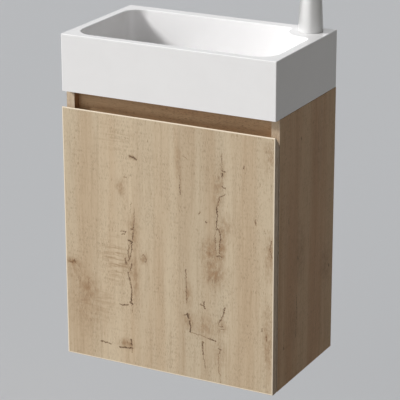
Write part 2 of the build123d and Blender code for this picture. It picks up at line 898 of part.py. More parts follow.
def cut_wall_holes(rail, level):
    """Rail with its two wall-screw holes drilled at a level."""
    for x in (-wall_hole_spacing / 2, wall_hole_spacing / 2):
        rail -= bore((x, -board, level), (0, 1, 0), wall_hole_radius, board + over)
    return rail


def make_boards():
    """Boards between the side panels, by name."""
    between = (inner_left, inner_right)
    rail_low = boards_top - rail_top_height
    floor_top = door_bottom + board
    back_top = block(between, (-board, 0), (rail_low, boards_top))
    back_low = block(between, (-board, 0), (floor_top, floor_top + rail_bottom_height))
    return {
        "bottom_panel": block(between, (carcass_front, 0), (door_bottom, floor_top)),
        "grip_rail": block(
            between, (grip_rail_front, grip_rail_front + board), (rail_low, boards_top)
        ),
        "back_rail_top": cut_wall_holes(back_top, 0),
        "back_rail_bottom": cut_wall_holes(back_low, lower_wall_holes),
    }


def cam_places():
    """Each cam fitting: its board, the place of its bolt, and the face that the cam sits in."""
    middle = door_bottom + board / 2
    level = boards_top - rail_cam_drop
    low_level = door_bottom + board + low_rail_cam_rise
    return [
        *(("bottom_panel", row, middle, (0, 0, 1)) for row in bottom_cam_rows),
        ("grip_rail", grip_rail_front + board / 2, level, (0, 1, 0)),
        ("back_rail_top", -board / 2, level, (0, -1, 0)),
        ("back_rail_bottom", -board / 2, low_level, (0, -1, 0)),
    ]


def dowel_places():
    """Each dowel: its board and the place of its axis."""
    middle = door_bottom + board / 2
    level = boards_top - rail_dowel_drop
    low_level = door_bottom + board + low_rail_dowel_rise
    return [
        *(("bottom_panel", row, middle) for row in bottom_dowel_rows),
        ("grip_rail", grip_rail_front + board / 2, level),
        ("back_rail_top", -board / 2, level),
        ("back_rail_bottom", -board / 2, low_level),
    ]


def cam_joint(side, y, z, face):
    """One cam fitting: the cam, its bolt, and the cuts in the board and the side panel."""
    inner = side * inner_right
    cam_x = inner - side * cam_reach
    face_way = Vector(*face)
    mouth = Vector(cam_x, y, z) + face_way * (board / 2)
    cam = rod(tuple(mouth), tuple(-face_way), cam_radius - slip, cam_height)
    cam -= rod(
        (cam_x - side * cam_mouth_start, y, z), (side, 0, 0), cam_mouth, cam_mouth_length
    )
    notch = Vector(cam_x, y, z) + face_way * (board / 2 - cam_notch_inset)
    upward = bool(face[2])
    notch_y = cam_notch_depth if upward else cam_notch_width
    notch_z = cam_notch_width if upward else cam_notch_depth
    cam -= Pos(*notch) * Box(cam_notch_length, notch_y, notch_z)
    bolt = rod(
        (inner + side * bolt_thread_depth, y, z), (-side, 0, 0),
        bolt_thread_radius, bolt_thread_length,
    )
    bolt += rod((inner, y, z), (-side, 0, 0), bolt_shank_radius, cam_reach - bolt_shank_short)
    bolt += rod(
        (cam_x + side * bolt_head_length, y, z), (-side, 0, 0), bolt_head_radius, bolt_head_length
    )
    board_cut = rod(tuple(mouth), tuple(-face_way), cam_radius, cam_height + slip)
    board_cut += bore((inner, y, z), (-side, 0, 0), bolt_way_radius, cam_reach - over)
    side_cut = bore((inner, y, z), (side, 0, 0), bolt_head_radius, bolt_hole_depth)
    return {"cam": cam, "bolt": bolt, "board_cut": board_cut, "side_cut": side_cut}


def make_shelf():
    """Loose shelf and the four pins that carry it."""
    keep("shelf", block(
        (inner_left + shelf_side_gap, inner_right - shelf_side_gap),
        (carcass_front + shelf_front_gap, -shelf_back_gap), (shelf_top - board, shelf_top),
    ))
    pins = []
    for side in (-1, 1):
        for y in shelf_pin_rows:
            way = (side, 0, 0)
            pin = rod(
                (side * (inner_right - shelf_pin_inset), y, shelf_pin_level), way,
                shelf_pin_radius, shelf_pin_length,
            )
            pin += rod(
                (side * (inner_right - shelf_pin_collar_inset), y, shelf_pin_level), way,
                shelf_pin_collar_radius, shelf_pin_collar,
            )
            flat_low = shelf_pin_level + shelf_pin_radius
            pin -= block(
                (-unit_width, unit_width), (y - shelf_pin_flat, y + shelf_pin_flat),
                (flat_low, flat_low + shelf_pin_flat),
            )
            pins.append(pin)
    keep("shelf_pins", *pins)


def make_cabinet():
    """Side panels, bottom, rails and shelf, bored for their fittings."""
    heights = (door_bottom, boards_top)
    depths = (carcass_front + carcass_band, 0)
    sides = {
        -1: block((left, inner_left), depths, heights),
        1: block((inner_right, right), depths, heights),
    }
    boards = make_boards()
    cams, bolts, dowels = [], [], []
    for name, y, z, face in cam_places():
        for side in (-1, 1):
            joint = cam_joint(side, y, z, face)
            boards[name] -= joint["board_cut"]
            sides[side] -= joint["side_cut"]
            cams.append(joint["cam"])
            bolts.append(joint["bolt"])
    for name, y, z in dowel_places():
        for side in (-1, 1):
            start_x = side * (inner_right - dowel_inset)
            hole = rod(
                (start_x - side * dowel_end_room, y, z), (side, 0, 0),
                dowel_radius + slip, dowel_length + 2 * dowel_end_room,
            )
            boards[name] -= hole
            sides[side] -= hole
            dowels.append(rod((start_x, y, z), (side, 0, 0), dowel_radius, dowel_length))
    for side in (-1, 1):
        for y in shelf_pin_rows:
            for step in (-shelf_pin_step, 0, shelf_pin_step):
                sides[side] -= rod(
                    (side * inner_right, y, shelf_pin_level + step), (side, 0, 0),
                    shelf_pin_radius + slip, shelf_pin_hole,
                )
    x, y = hinge_point(board, plate_screw_v)
    for level in hinge_levels.values():
        for step in (-plate_screw_step, plate_screw_step):
            sides[-1] -= bore((x, y, level + step), (-1, 0, 0), *plate_screw_pilot)

    keep("side_panel_left", sides[-1])
    keep("side_panel_right", sides[1])
    for name, solid in boards.items():
        keep(name, solid)
    keep("cam_locks", *cams)
    keep("cam_bolts", *bolts)
    keep("wooden_dowels", *dowels)
    widths = ((left, inner_left), (inner_right, right))
    keep("side_edge_bands", *(
        block(pair, (carcass_front, carcass_front + carcass_band), heights) for pair in widths
    ))
    keep("basin_sealant", *(
        block(
            (pair[0] + bead_side, pair[1] - bead_side), (carcass_front + bead_end, -bead_end),
            (boards_top, carcass_top),
        )
        for pair in widths
    ))


# Door

def door_form(inset, width):
    """Door's bevelled section, drawn in from its edges by an inset, over a width."""
    flat = grip_flat - inset * (sqrt(2) - 1)
    crest = door_top - inset
    outline = [
        (door_front, door_bottom + inset), (door_front, crest), (door_front + flat, crest),
        (door_back, crest - board + flat), (door_back, door_bottom + inset),
    ]
    section = Plane.YZ * make_face(Polyline(*outline, close=True))
    return extrude(Pos(-width / 2, 0, 0) * section, amount=width)


def make_door():
    """Door leaf with its edge bands and bumpers, bored for the hinge cups."""
    whole = door_form(0, unit_width)
    whole = fillet(whole.faces().sort_by(Axis.Y)[0].edges(), arris_round)
    back_edges = whole.edges().filter_by(Axis.Z).group_by(Axis.Y)[-1]
    whole = chamfer(back_edges, door_back_bevel)

    leaf = door_form(door_band, unit_width - 2 * door_band)
    cup_x = hinge_point(cup_u, 0)[0]
    for level in hinge_levels.values():
        leaf -= bore(
            (cup_x, door_back, level), (0, -1, 0), cup_radius + slip, cup_sunk + cup_hole_play
        )
        for step in (-cup_screw_step, cup_screw_step):
            spot = (cup_x + cup_screw_aside, door_back, level + step)
            leaf -= bore(spot, (0, -1, 0), *cup_screw_hole)
    keep("door_panel", leaf)

    depth = (door_front, door_back)
    tall = (door_bottom, door_top)
    below = door_form(door_band, unit_width)
    foot = whole & block((left, right), depth, (door_bottom, door_bottom + door_band))
    between = whole & below
    keep(
        "door_edge_bands",
        whole - foot - below,
        foot,
        between & block((left, left + door_band), depth, tall),
        between & block((right - door_band, right), depth, tall),
    )
    bumpers = []
    for level in (door_top - bumper_from_end, door_bottom + bumper_from_end):
        pad = rod((right - board / 2, door_back, level), (0, 1, 0), bumper_radius, bumper_thick)
        bumpers.append(fillet(pad.edges().group_by(Axis.Y)[-1], bumper_round))
    keep("door_bumpers", *bumpers)


# Hinges

def hinge_point(u, v):
    """Plan point of the hinge layout: u from the door's left edge, v from its front face."""
    return (left + u, door_front + v)


def arm_pivot():
    """Arm's pivot: on the line that halves the link pin's path, so both ends of the swing fit."""
    pin = (link_pin_u - door_axis_u, link_pin_v - door_axis_v)
    heading = radians(degrees(atan2(pin[1], pin[0])) - door_opening / 2)
    return (
        door_axis_u + arm_pivot_reach * cos(heading),
        door_axis_v + arm_pivot_reach * sin(heading),
    )


def link_turn():
    """How far the link turns about the arm's pivot while the door opens fully."""
    pivot = arm_pivot()
    swing = radians(-door_opening)
    u = link_pin_u - door_axis_u
    v = link_pin_v - door_axis_v
    opened = (
        door_axis_u + u * cos(swing) - v * sin(swing),
        door_axis_v + u * sin(swing) + v * cos(swing),
    )
    shut_angle = atan2(link_pin_v - pivot[1], link_pin_u - pivot[0])
    open_angle = atan2(opened[1] - pivot[1], opened[0] - pivot[0])
    return (degrees(open_angle - shut_angle) + 180) % 360 - 180


def hinge_cup(level):
    """Pressed cup in the door, with the flange that its two screws hold."""
    x = hinge_point(cup_u, 0)[0]
    flange_x = x + cup_screw_aside
    half_height = cup_screw_step + flange_ear
    cup = rod((x, door_back, level), (0, -1, 0), cup_radius, cup_sunk)
    flange = rod((x, door_back, level), (0, 1, 0), cup_radius + cup_lip, flange_sheet)
    flange += block(
        (flange_x - flange_half_width, flange_x + flange_half_width),
        (door_back, door_back + flange_sheet), (level - half_height, level + half_height),
    )
    flange -= block(
        (left - cup_radius, left + flange_clear_of_edge),
        (door_back - over, door_back + flange_sheet + over),
        (level - 2 * cup_radius, level + 2 * cup_radius),
    )
    cup += flange
    cup -= rod(
        (x, door_back + flange_sheet + over, level), (0, -1, 0),
        cup_radius - cup_wall, cup_sunk + flange_sheet + over - cup_wall,
    )
    for step in (-cup_screw_step, cup_screw_step):
        spot = (flange_x, door_back + flange_sheet, level + step)
        cup -= bore(spot, (0, -1, 0), cup_screw_play, flange_sheet + over)
    return cup


def hinge_link(level):
    """Bent link from the arm's pivot round into the cup."""
    stops = [arm_pivot(), link_knee, (link_pin_u, link_pin_v)]
    low = level - link_half_width
    high = level + link_half_width
    knuckles = [
        upright(*hinge_point(*point), low, high, radius)
        for point, radius in zip(stops, link_ends)
    ]
    link = knuckles[0] + knuckles[1] + knuckles[2]
    for start, end in zip(stops, stops[1:]):
        along = Vector(end[0] - start[0], end[1] - start[1])
        side = along.normalized().rotate(Axis.Z, 90) * link_half_thick
        corners = [
            hinge_point(start[0] + side.X, start[1] + side.Y),
            hinge_point(start[0] - side.X, start[1] - side.Y),
            hinge_point(end[0] - side.X, end[1] - side.Y),
            hinge_point(end[0] + side.X, end[1] + side.Y),
        ]
        link += prism(corners, low, high)
    link -= passage(*hinge_point(*arm_pivot()), low, high, hinge_pin_radius + running)
    return link


def arm_outline(shift):
    """Side outline of the hinge arm in plan, shifted towards the side panel."""
    return [hinge_point(u - shift, v) for u, v in arm_section]


def arm_cut(corners, reach):
    """Block in plan between two hinge points, over a reach of levels."""
    near_corner = hinge_point(*corners[0])
    far_corner = hinge_point(*corners[1])
    return block((near_corner[0], far_corner[0]), (near_corner[1], far_corner[1]), reach)


def hinge_arm(level):
    """Folded arm: two ears round the link's pivot and a web that faces the cabinet's inside."""
    pivot = hinge_point(*arm_pivot())
    inner = link_half_width + ear_gap
    half = inner + sheet
    arm = prism(arm_outline(0), level - half, level + half)
    arm += upright(*pivot, level - half, level + half, ear_radius)
    arm -= prism(arm_outline(sheet), level - inner, level + inner)
    arm -= arm_cut(arm_nose, (level - inner, level + inner))
    arm -= arm_cut(arm_tail, (level - inner, level + inner))
    arm -= passage(*pivot, level - half, level + half, hinge_pin_radius + running)
    x, y = hinge_point(arm_face_u, arm_screw_v)
    arm -= bore((x, y, level), (-1, 0, 0), arm_screw_hole, 2 * sheet)
    return arm


def hinge_plate(level):
    """Cruciform mounting plate on the side panel, with the block that the arm clips over."""
    face = inner_left
    middle = hinge_point(0, plate_screw_v)[1]
    plate = block(
        (face, face + plate_thick), (middle - plate_half_depth, middle + plate_half_depth),
        (level - plate_half_height, level + plate_half_height),
    )
    plate = fillet(plate.edges().filter_by(Axis.X), plate_corner)
    plate += block(
        (face, face + plate_block_rise), (middle - plate_block_ahead, middle + plate_block_behind),
        (level - plate_block_half, level + plate_block_half),
    )
    for step in (-plate_screw_step, plate_screw_step):
        plate -= bore((face, middle, level + step), (1, 0, 0), plate_screw_hole, 2 * plate_thick)
    y = hinge_point(0, arm_screw_v)[1]
    plate -= rod(
        (face + arm_screw_bore_start, y, level), (1, 0, 0), arm_screw_bore, plate_block_rise
    )
    return plate


def head_screw(spot, inward, sizes):
    """Plain screw from under its head: shank along the inward way, bevelled head the other way."""
    shank_radius, shank_length, head_radius, head_height, bevel = sizes
    outward = tuple(-part for part in inward)
    screw = rod(spot, inward, shank_radius, shank_length)
    screw += rod(spot, outward, head_radius, head_height)
    axis = Axis((0, 0, 0), outward)
    return chamfer(screw.edges().group_by(axis)[-1], bevel)


def make_hinges():
    """Both hinges, piece by piece, with their screws and pins."""
    cup_screws, pins, plate_screws, arm_screws = [], [], [], []
    half = link_half_width + ear_gap + sheet
    cup_screw_x = hinge_point(cup_u + cup_screw_aside, 0)[0]
    plate_y = hinge_point(0, plate_screw_v)[1]
    arm_spot = hinge_point(arm_face_u, arm_screw_v)
    for name, level in hinge_levels.items():
        keep(f"hinge_cup_{name}", hinge_cup(level))
        keep(f"hinge_link_{name}", hinge_link(level))
        keep(f"hinge_arm_{name}", hinge_arm(level))
        keep(f"hinge_plate_{name}", hinge_plate(level))
        pins.append(
            upright(*hinge_point(*arm_pivot()), level - half, level + half, hinge_pin_radius)
        )
        for step in (-cup_screw_step, cup_screw_step):
            spot = (cup_screw_x, door_back + flange_sheet, level + step)
            cup_screws.append(head_screw(spot, (0, -1, 0), cup_screw))
        for step in (-plate_screw_step, plate_screw_step):
            spot = (inner_left + plate_thick, plate_y, level + step)
            plate_screws.append(head_screw(spot, (-1, 0, 0), plate_screw))
        arm_screws.append(head_screw((*arm_spot, level), (-1, 0, 0), arm_screw))
    keep("hinge_cup_screws", *cup_screws)
    keep("hinge_pins", *pins)
    keep("hinge_plate_screws", *plate_screws)
    keep("hinge_arm_screws", *arm_screws)


# Build everything and write one file for each node
keep("basin", make_basin())
make_waste_tube()
make_plug()
make_waste_seals()
make_trap_head()
make_trap_cup()
make_trap_pipes()
make_trap_nuts()
make_tap_body()
make_tap_fittings()
make_cartridge()
make_lever()
make_cabinet()
make_shelf()
make_door()
make_hinges()

os.makedirs("parts", exist_ok=True)
for name, solids in parts.items():
    loose = [solid for shape in solids for solid in shape.solids()]
    whole = loose[0] if len(loose) == 1 else Compound(children=loose)
    whole.label = name
    export_step(whole, f"parts/{name}.step")
print(len(parts), "nodes")
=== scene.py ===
"""Looks of a wall-hung vanity unit with basin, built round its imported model.

Metres in the model's own frame: X to the right, the wall at Y = 0, Z up. The oak decor is
laid out on each board in millimetres.
"""

import logging
import math
from dataclasses import dataclass, replace
from enum import Enum
from typing import NamedTuple, Sequence, Union

import bpy
from mathutils import Matrix, Vector


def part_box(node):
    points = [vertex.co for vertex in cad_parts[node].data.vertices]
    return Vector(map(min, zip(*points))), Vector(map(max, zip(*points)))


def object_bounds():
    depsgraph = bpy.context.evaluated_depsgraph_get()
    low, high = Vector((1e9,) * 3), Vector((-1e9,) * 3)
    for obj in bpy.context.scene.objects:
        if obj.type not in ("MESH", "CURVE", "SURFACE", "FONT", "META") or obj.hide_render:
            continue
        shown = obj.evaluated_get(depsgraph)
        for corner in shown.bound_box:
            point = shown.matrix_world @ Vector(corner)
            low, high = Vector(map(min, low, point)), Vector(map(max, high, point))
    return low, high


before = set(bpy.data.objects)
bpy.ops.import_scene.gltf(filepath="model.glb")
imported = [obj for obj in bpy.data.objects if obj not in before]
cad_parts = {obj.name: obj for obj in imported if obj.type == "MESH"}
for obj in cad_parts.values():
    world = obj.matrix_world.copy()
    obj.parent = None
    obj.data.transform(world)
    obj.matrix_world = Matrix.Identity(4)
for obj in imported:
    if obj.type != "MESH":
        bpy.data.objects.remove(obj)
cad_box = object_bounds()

LOG = logging.getLogger("vanity")
MM = 0.001

Colour = tuple[float, float, float]
Socket = bpy.types.NodeSocket
Feed = Union[Socket, float, Sequence[float]]

# Sockets of the colour mixing node, whose names repeat
MIX_FIRST, MIX_SECOND, MIX_RESULT = 6, 7, 2


class Span(NamedTuple):
    """Range of a pattern's value, and the range that it is mapped onto."""

    low: float
    high: float
    to_low: float = 0.0
    to_high: float = 1.0


class Texture(NamedTuple):
    """How fine a noise is, how many finer layers it has and how strong those are."""

    scale: float
    detail: float = 2.0
    roughness: float = 0.5


def srgb(red: int, green: int, blue: int) -> Colour:
    """Turn a display colour, 0 to 255 a channel, into the linear one that shaders take.

    Args:
        red: Red channel.
        green: Green channel.
        blue: Blue channel.

    Returns:
        The colour in linear light.
    """
    def straight(channel: int) -> float:
        """Linear value of one channel."""
        share = channel / 255
        return share / 12.92 if share <= 0.04045 else ((share + 0.055) / 1.055) ** 2.4

    return straight(red), straight(green), straight(blue)


def toned(colour: Colour, factor: float) -> Colour:
    """Make a colour darker or brighter.

    Args:
        colour: The colour.
        factor: What each channel is multiplied by.

    Returns:
        The new colour, with no channel past 1.
    """
    return tuple(min(1.0, channel * factor) for channel in colour)


class NodeSheet:
    """A new material with short calls that add nodes to it."""

    def __init__(self, name: str) -> None:
        """Start a material with its own shader.

        Args:
            name: Name of the material.
        """
        self.material = bpy.data.materials.new(name)
        self.material.use_nodes = True
        self.nodes = self.material.node_tree.nodes
        self.links = self.material.node_tree.links
        self.shader = self.nodes["Principled BSDF"]

    def add(self, kind: str, **settings: object) -> bpy.types.Node:
        """Add a node.

        Args:
            kind: Type name of the node.
            settings: Properties to set on it.

        Returns:
            The node.
        """
        node = self.nodes.new(kind)
        for key, value in settings.items():
            setattr(node, key, value)
        return node

    def feed(self, socket: Socket, value: Feed) -> None:
        """Give a socket a value or a link.

        Args:
            socket: The input.
            value: A plain value, or the output that feeds it.
        """
        if isinstance(value, Socket):
            self.links.new(value, socket)
        else:
            socket.default_value = value

    def calc(self, operation: str, first: Feed, second: Feed = 0.0,
             third: Feed = 0.0) -> Socket:
        """Add a maths node.

        Args:
            operation: Name of the operation.
            first: First value.
            second: Second value.
            third: Third value, where the operation has one.

        Returns:
            Its result.
        """
        node = self.add("ShaderNodeMath", operation=operation)
        for index, value in enumerate((first, second, third)):
            self.feed(node.inputs[index], value)
        return node.outputs[0]

    def vector(self, operation: str, first: Feed, second: Feed = (0.0, 0.0, 0.0),
               scale: Feed = 1.0) -> Socket:
        """Add a vector maths node.

        Args:
            operation: Name of the operation.
            first: First vector.
            second: Second vector.
            scale: Factor of a scaling.

        Returns:
            Its vector, or its value for a product, length or distance.
        """
        node = self.add("ShaderNodeVectorMath", operation=operation)
        self.feed(node.inputs[0], first)
        self.feed(node.inputs[1], second)
        if operation == "SCALE":
            self.feed(node.inputs["Scale"], scale)
        as_value = operation in ("DOT_PRODUCT", "LENGTH", "DISTANCE")
        return node.outputs["Value" if as_value else "Vector"]

    def noise(self, place: Feed, scale: float, detail: float = 2.0,
              roughness: float = 0.5) -> Socket:
        """Add a noise texture.

        Args:
            place: Where it is read.
            scale: How fine it is.
            detail: How many finer layers it has.
            roughness: How strong those are.

        Returns:
            Its value, about 0.5 on average.
        """
        node = self.add("ShaderNodeTexNoise", noise_dimensions="3D")
        self.feed(node.inputs["Vector"], place)
        node.inputs["Scale"].default_value = scale
        node.inputs["Detail"].default_value = detail
        node.inputs["Roughness"].default_value = roughness
        return node.outputs["Fac"]

    def spread(self, value: Feed, low: float, high: float, to_low: float = 0.0,
               to_high: float = 1.0) -> Socket:
        """Map a range onto another, smoothly and held at its ends.

        Args:
            value: What is mapped.
            low: Start of the range.
            high: End of the range.
            to_low: Result at the start.
            to_high: Result at the end.

        Returns:
            The mapped value.
        """
        node = self.add("ShaderNodeMapRange", interpolation_type="SMOOTHSTEP")
        for socket, given in zip(node.inputs[:5], (value, low, high, to_low, to_high)):
            self.feed(socket, given)
        return node.outputs[0]

    def blend(self, factor: Feed, first: Feed, second: Feed, way: str = "MIX") -> Socket:
        """Mix two colours.

        Args:
            factor: Share of the second.
            first: First colour.
            second: Second colour.
            way: Blend type.

        Returns:
            The mixed colour.
        """
        node = self.add("ShaderNodeMix", data_type="RGBA", blend_type=way)
        self.feed(node.inputs[0], factor)
        for index, given in ((MIX_FIRST, first), (MIX_SECOND, second)):
            solid = given if isinstance(given, Socket) else (*given, 1.0)
            self.feed(node.inputs[index], solid)
        return node.outputs[MIX_RESULT]

    def tint(self, colour: Feed, pattern: Feed, span: Span, tone: Feed) -> Socket:
        """Blend a tone into a colour as far as a pattern says.

        Args:
            colour: The colour.
            pattern: Value of the pattern.
            span: How the value turns into the tone's share.
            tone: The tone.

        Returns:
            The tinted colour.
        """
        return self.blend(self.spread(pattern, *span), colour, tone)

    def relief(self, height: Feed, depth: float, strength: float) -> None:
        """Bump the surface.

        Args:
            height: Height, 0 to 1.
            depth: Depth of a full step, in metres.
            strength: How strongly it shows.
        """
        node = self.add("ShaderNodeBump")
        node.inputs["Strength"].default_value = strength
        node.inputs["Distance"].default_value = depth
        self.feed(node.inputs["Height"], height)
        self.links.new(node.outputs[0], self.shader.inputs["Normal"])

    def place(self) -> Socket:
        """Place on the piece, in its own coordinates and metres."""
        return self.add("ShaderNodeTexCoord").outputs["Object"]

    def set(self, **values: Feed) -> None:
        """Set the shader's inputs.

        Args:
            values: Input names, with underscores for spaces, and their values.
        """
        for key, value in values.items():
            self.feed(self.shader.inputs[key.replace("_", " ")], value)


class Grain(Enum):
    """Which axes of a board are across the grain, along it, and through the board."""

    DOOR = ("X", "Z", "Y")
    SIDE = ("Y", "Z", "X")
    RAIL = ("Z", "X", "Y")
    FLOOR = ("Y", "X", "Z")


@dataclass(frozen=True)
class Crack:
    """Dark crack, knot or speck of the decor, as a chain of points in millimetres.

    The points are (across, down): from the board's left or front edge, and down from its top.
    """

    points: tuple[tuple[float, float], ...]
    width: float
    dark: float = 1.0


@dataclass(frozen=True)
class Cloud:
    """Soft patch of another tone in the decor, an oval given in millimetres."""

    across: float
    down: float
    half_width: float
    half_height: float
    strength: float


@dataclass(frozen=True)
class Layer:
    """Noise stretched along the grain, with the size of its detail in millimetres.

    The shift moves the layer, so that no two layers are alike.
    """

    across: float
    along: float
    shift: float
    detail: float = 2.0
    roughness: float = 0.5


@dataclass(frozen=True)
class CastFinish:
    """Smooth white casting or coat: nearly even, with faint clouding and a clear gloss."""

    name: str
    colour: Colour
    roughness: float
    coat: float
    coat_roughness: float = 0.12
    refraction: float = 1.5
    clouding: Texture = Texture(22.0, 3.0, 0.55)
    cloud_span: Span = Span(0.35, 0.7)
    cloud_tone: float = 0.985
    polish: Texture = Texture(60.0)
    polish_span: tuple[float, float] = (0.3, 0.75)
    polish_change: float = 0.03
    ripple: Texture = Texture(110.0)
    ripple_depth: float = 0.00002
    ripple_strength: float = 0.25

    def make(self) -> bpy.types.Material:
        """Build the material."""
        sheet = NodeSheet(self.name)
        place = sheet.place()
        cloud = sheet.noise(place, *self.clouding)
        polish = sheet.noise(place, *self.polish)
        cloudy = toned(self.colour, self.cloud_tone)
        rougher = self.roughness + self.polish_change
        sheet.set(
            Base_Color=sheet.tint(self.colour, cloud, self.cloud_span, cloudy),
            Roughness=sheet.spread(polish, *self.polish_span, self.roughness, rougher),
            Coat_Weight=self.coat,
            Coat_Roughness=self.coat_roughness,
            IOR=self.refraction,
        )
        ripple = sheet.noise(place, *self.ripple)
        sheet.relief(ripple, self.ripple_depth, self.ripple_strength)
        return sheet.material


@dataclass(frozen=True)
class MetalFinish:
    """Plated, polished or bare metal, with fine scratches and a slightly uneven polish."""

    name: str
    colour: Colour
    roughness: float
    grain: float = 0.08
    scratch_stretch: tuple[float, float, float] = (400.0, 400.0, 2600.0)
    scratch: Texture = Texture(1.0, 3.0)
    scratch_span: tuple[float, float] = (0.25, 0.75)
    scratch_depth: float = 0.00002
    scratch_strength: float = 0.3
    patch: Texture = Texture(120.0)
    patch_span: Span = Span(0.35, 0.7)
    patch_tone: float = 0.82

    def make(self) -> bpy.types.Material:
        """Build the material."""
        sheet = NodeSheet(self.name)
        place = sheet.place()
        stretched = sheet.vector("MULTIPLY", place, self.scratch_stretch)
        streak = sheet.noise(stretched, *self.scratch)
        patch = sheet.noise(place, *self.patch)
        darker = toned(self.colour, self.patch_tone)
        rougher = self.roughness + self.grain
        sheet.set(
            Base_Color=sheet.tint(self.colour, patch, self.patch_span, darker),
            Metallic=1.0,
            Roughness=sheet.spread(streak, *self.scratch_span, self.roughness, rougher),
        )
        sheet.relief(streak, self.scratch_depth, self.scratch_strength)
        return sheet.material


@dataclass(frozen=True)
class MouldedFinish:
    """Moulded plastic or rubber, with a fine texture and slight colour variation."""

    name: str
    colour: Colour
    roughness: float
    fineness: float = 900.0
    fine_span: tuple[float, float] = (0.3, 0.7)
    fine_change: float = 0.1
    depth: float = 0.00003
    strength: float = 0.4
    patch: Texture = Texture(35.0, 3.0)
    patch_span: Span = Span(0.3, 0.75)
    patch_tone: float = 0.9

    def make(self) -> bpy.types.Material:
        """Build the material."""
        sheet = NodeSheet(self.name)
        place = sheet.place()
        fine = sheet.noise(place, self.fineness)
        patch = sheet.noise(place, *self.patch)
        darker = toned(self.colour, self.patch_tone)
        rougher = self.roughness + self.fine_change
        sheet.set(
            Base_Color=sheet.tint(self.colour, patch, self.patch_span, darker),
            Roughness=sheet.spread(fine, *self.fine_span, self.roughness, rougher),
        )
        sheet.relief(fine, self.depth, self.strength)
        return sheet.material


# Layers of the oak decor
SWAY = Layer(55.0, 150.0, 3.0, 1.0)
BAND = Layer(38.0, 700.0, 0.0)
STREAK = Layer(5.0, 170.0, 5.0, 4.0, 0.62)
FIBRE = Layer(0.8, 26.0, 9.0, 3.0, 0.6)
DASH = Layer(1.7, 11.0, 29.0, 2.0, 0.6)
RIPPLE = Layer(34.0, 5.0, 13.0, 3.0, 0.6)
MOTTLE = Layer(7.0, 13.0, 17.0, 5.0, 0.7)
CHECK = Layer(1.5, 15.0, 33.0, 3.0, 0.6)
PORE = Layer(0.55, 7.0, 21.0, 1.0)
PORE_PATCH = Layer(24.0, 90.0, 25.0, 1.0)

# Share of its tone that each layer gives the decor
BAND_SHARE = Span(0.32, 0.68)
STREAK_SHARE = Span(0.48, 0.8, 0.0, 0.36)
BRIGHT_SHARE = Span(0.25, 0.5, 0.36, 0.0)
FIBRE_SHARE = Span(0.5, 0.8, 0.0, 0.4)
DASH_SHARE = Span(0.57, 0.72, 0.0, 0.5)
RIPPLE_SHARE = Span(0.58, 0.76, 0.0, 0.1)
RAY_SHARE = Span(0.45, 0.62)
MOTTLE_SHARE = Span(0.52, 0.8, 0.0, 0.3)
CHECK_SHARE = Span(0.56, 0.7)
CLOUD_SHARE = Span(0.34, 0.6, 0.15, 1.0)
PORE_SHARE = Span(0.58, 0.7)
PORE_PATCH_SHARE = Span(0.34, 0.62)
HALO_SHARE = Span(0.0, 0.4, 0.0, 0.6)
CORE_SHARE = Span(0.3, 0.95)

# Depth in millimetres, either way of the face, over which cracks and clouds fade out
FACE_DEPTH = Span(4.0, 6.0, 1.0, 0.0)

# How the cracks wander and how ragged they are, in millimetres on the board
WANDER_SCALE = 0.22
WANDER_DETAIL = 3.0
WANDER_REACH = (5.0, 4.0, 0.0)
NOISE_MIDDLE = (0.5, 0.5, 0.5)
RAGGED = Texture(0.7, 3.0, 0.7)
RAGGED_SHARE = Span(0.34, 0.64, 0.1, 1.5)
LEAST_LENGTH_SQUARED = 1e-6

# Tones, heights and gloss of the decor
SEED_SLANT = 1.7
CLOUD_GAIN = 1.5
BRIGHT_TONE = 1.12
PORE_SHADE = 0.72
PORE_TONE = 0.6
PORE_HEIGHT = -0.5
FIBRE_HEIGHT = 0.25
FIBRE_ROUGHNESS = Span(0.3, 0.8, 0.52, 0.66)
OAK_SPECULAR = 0.35
OAK_RELIEF = 0.00025
OAK_RELIEF_STRENGTH = 0.5

# Half the width of the join between two planks, and the width of the last one, in millimetres
PLANK_JOIN = 1.5
LAST_PLANK = 100.0


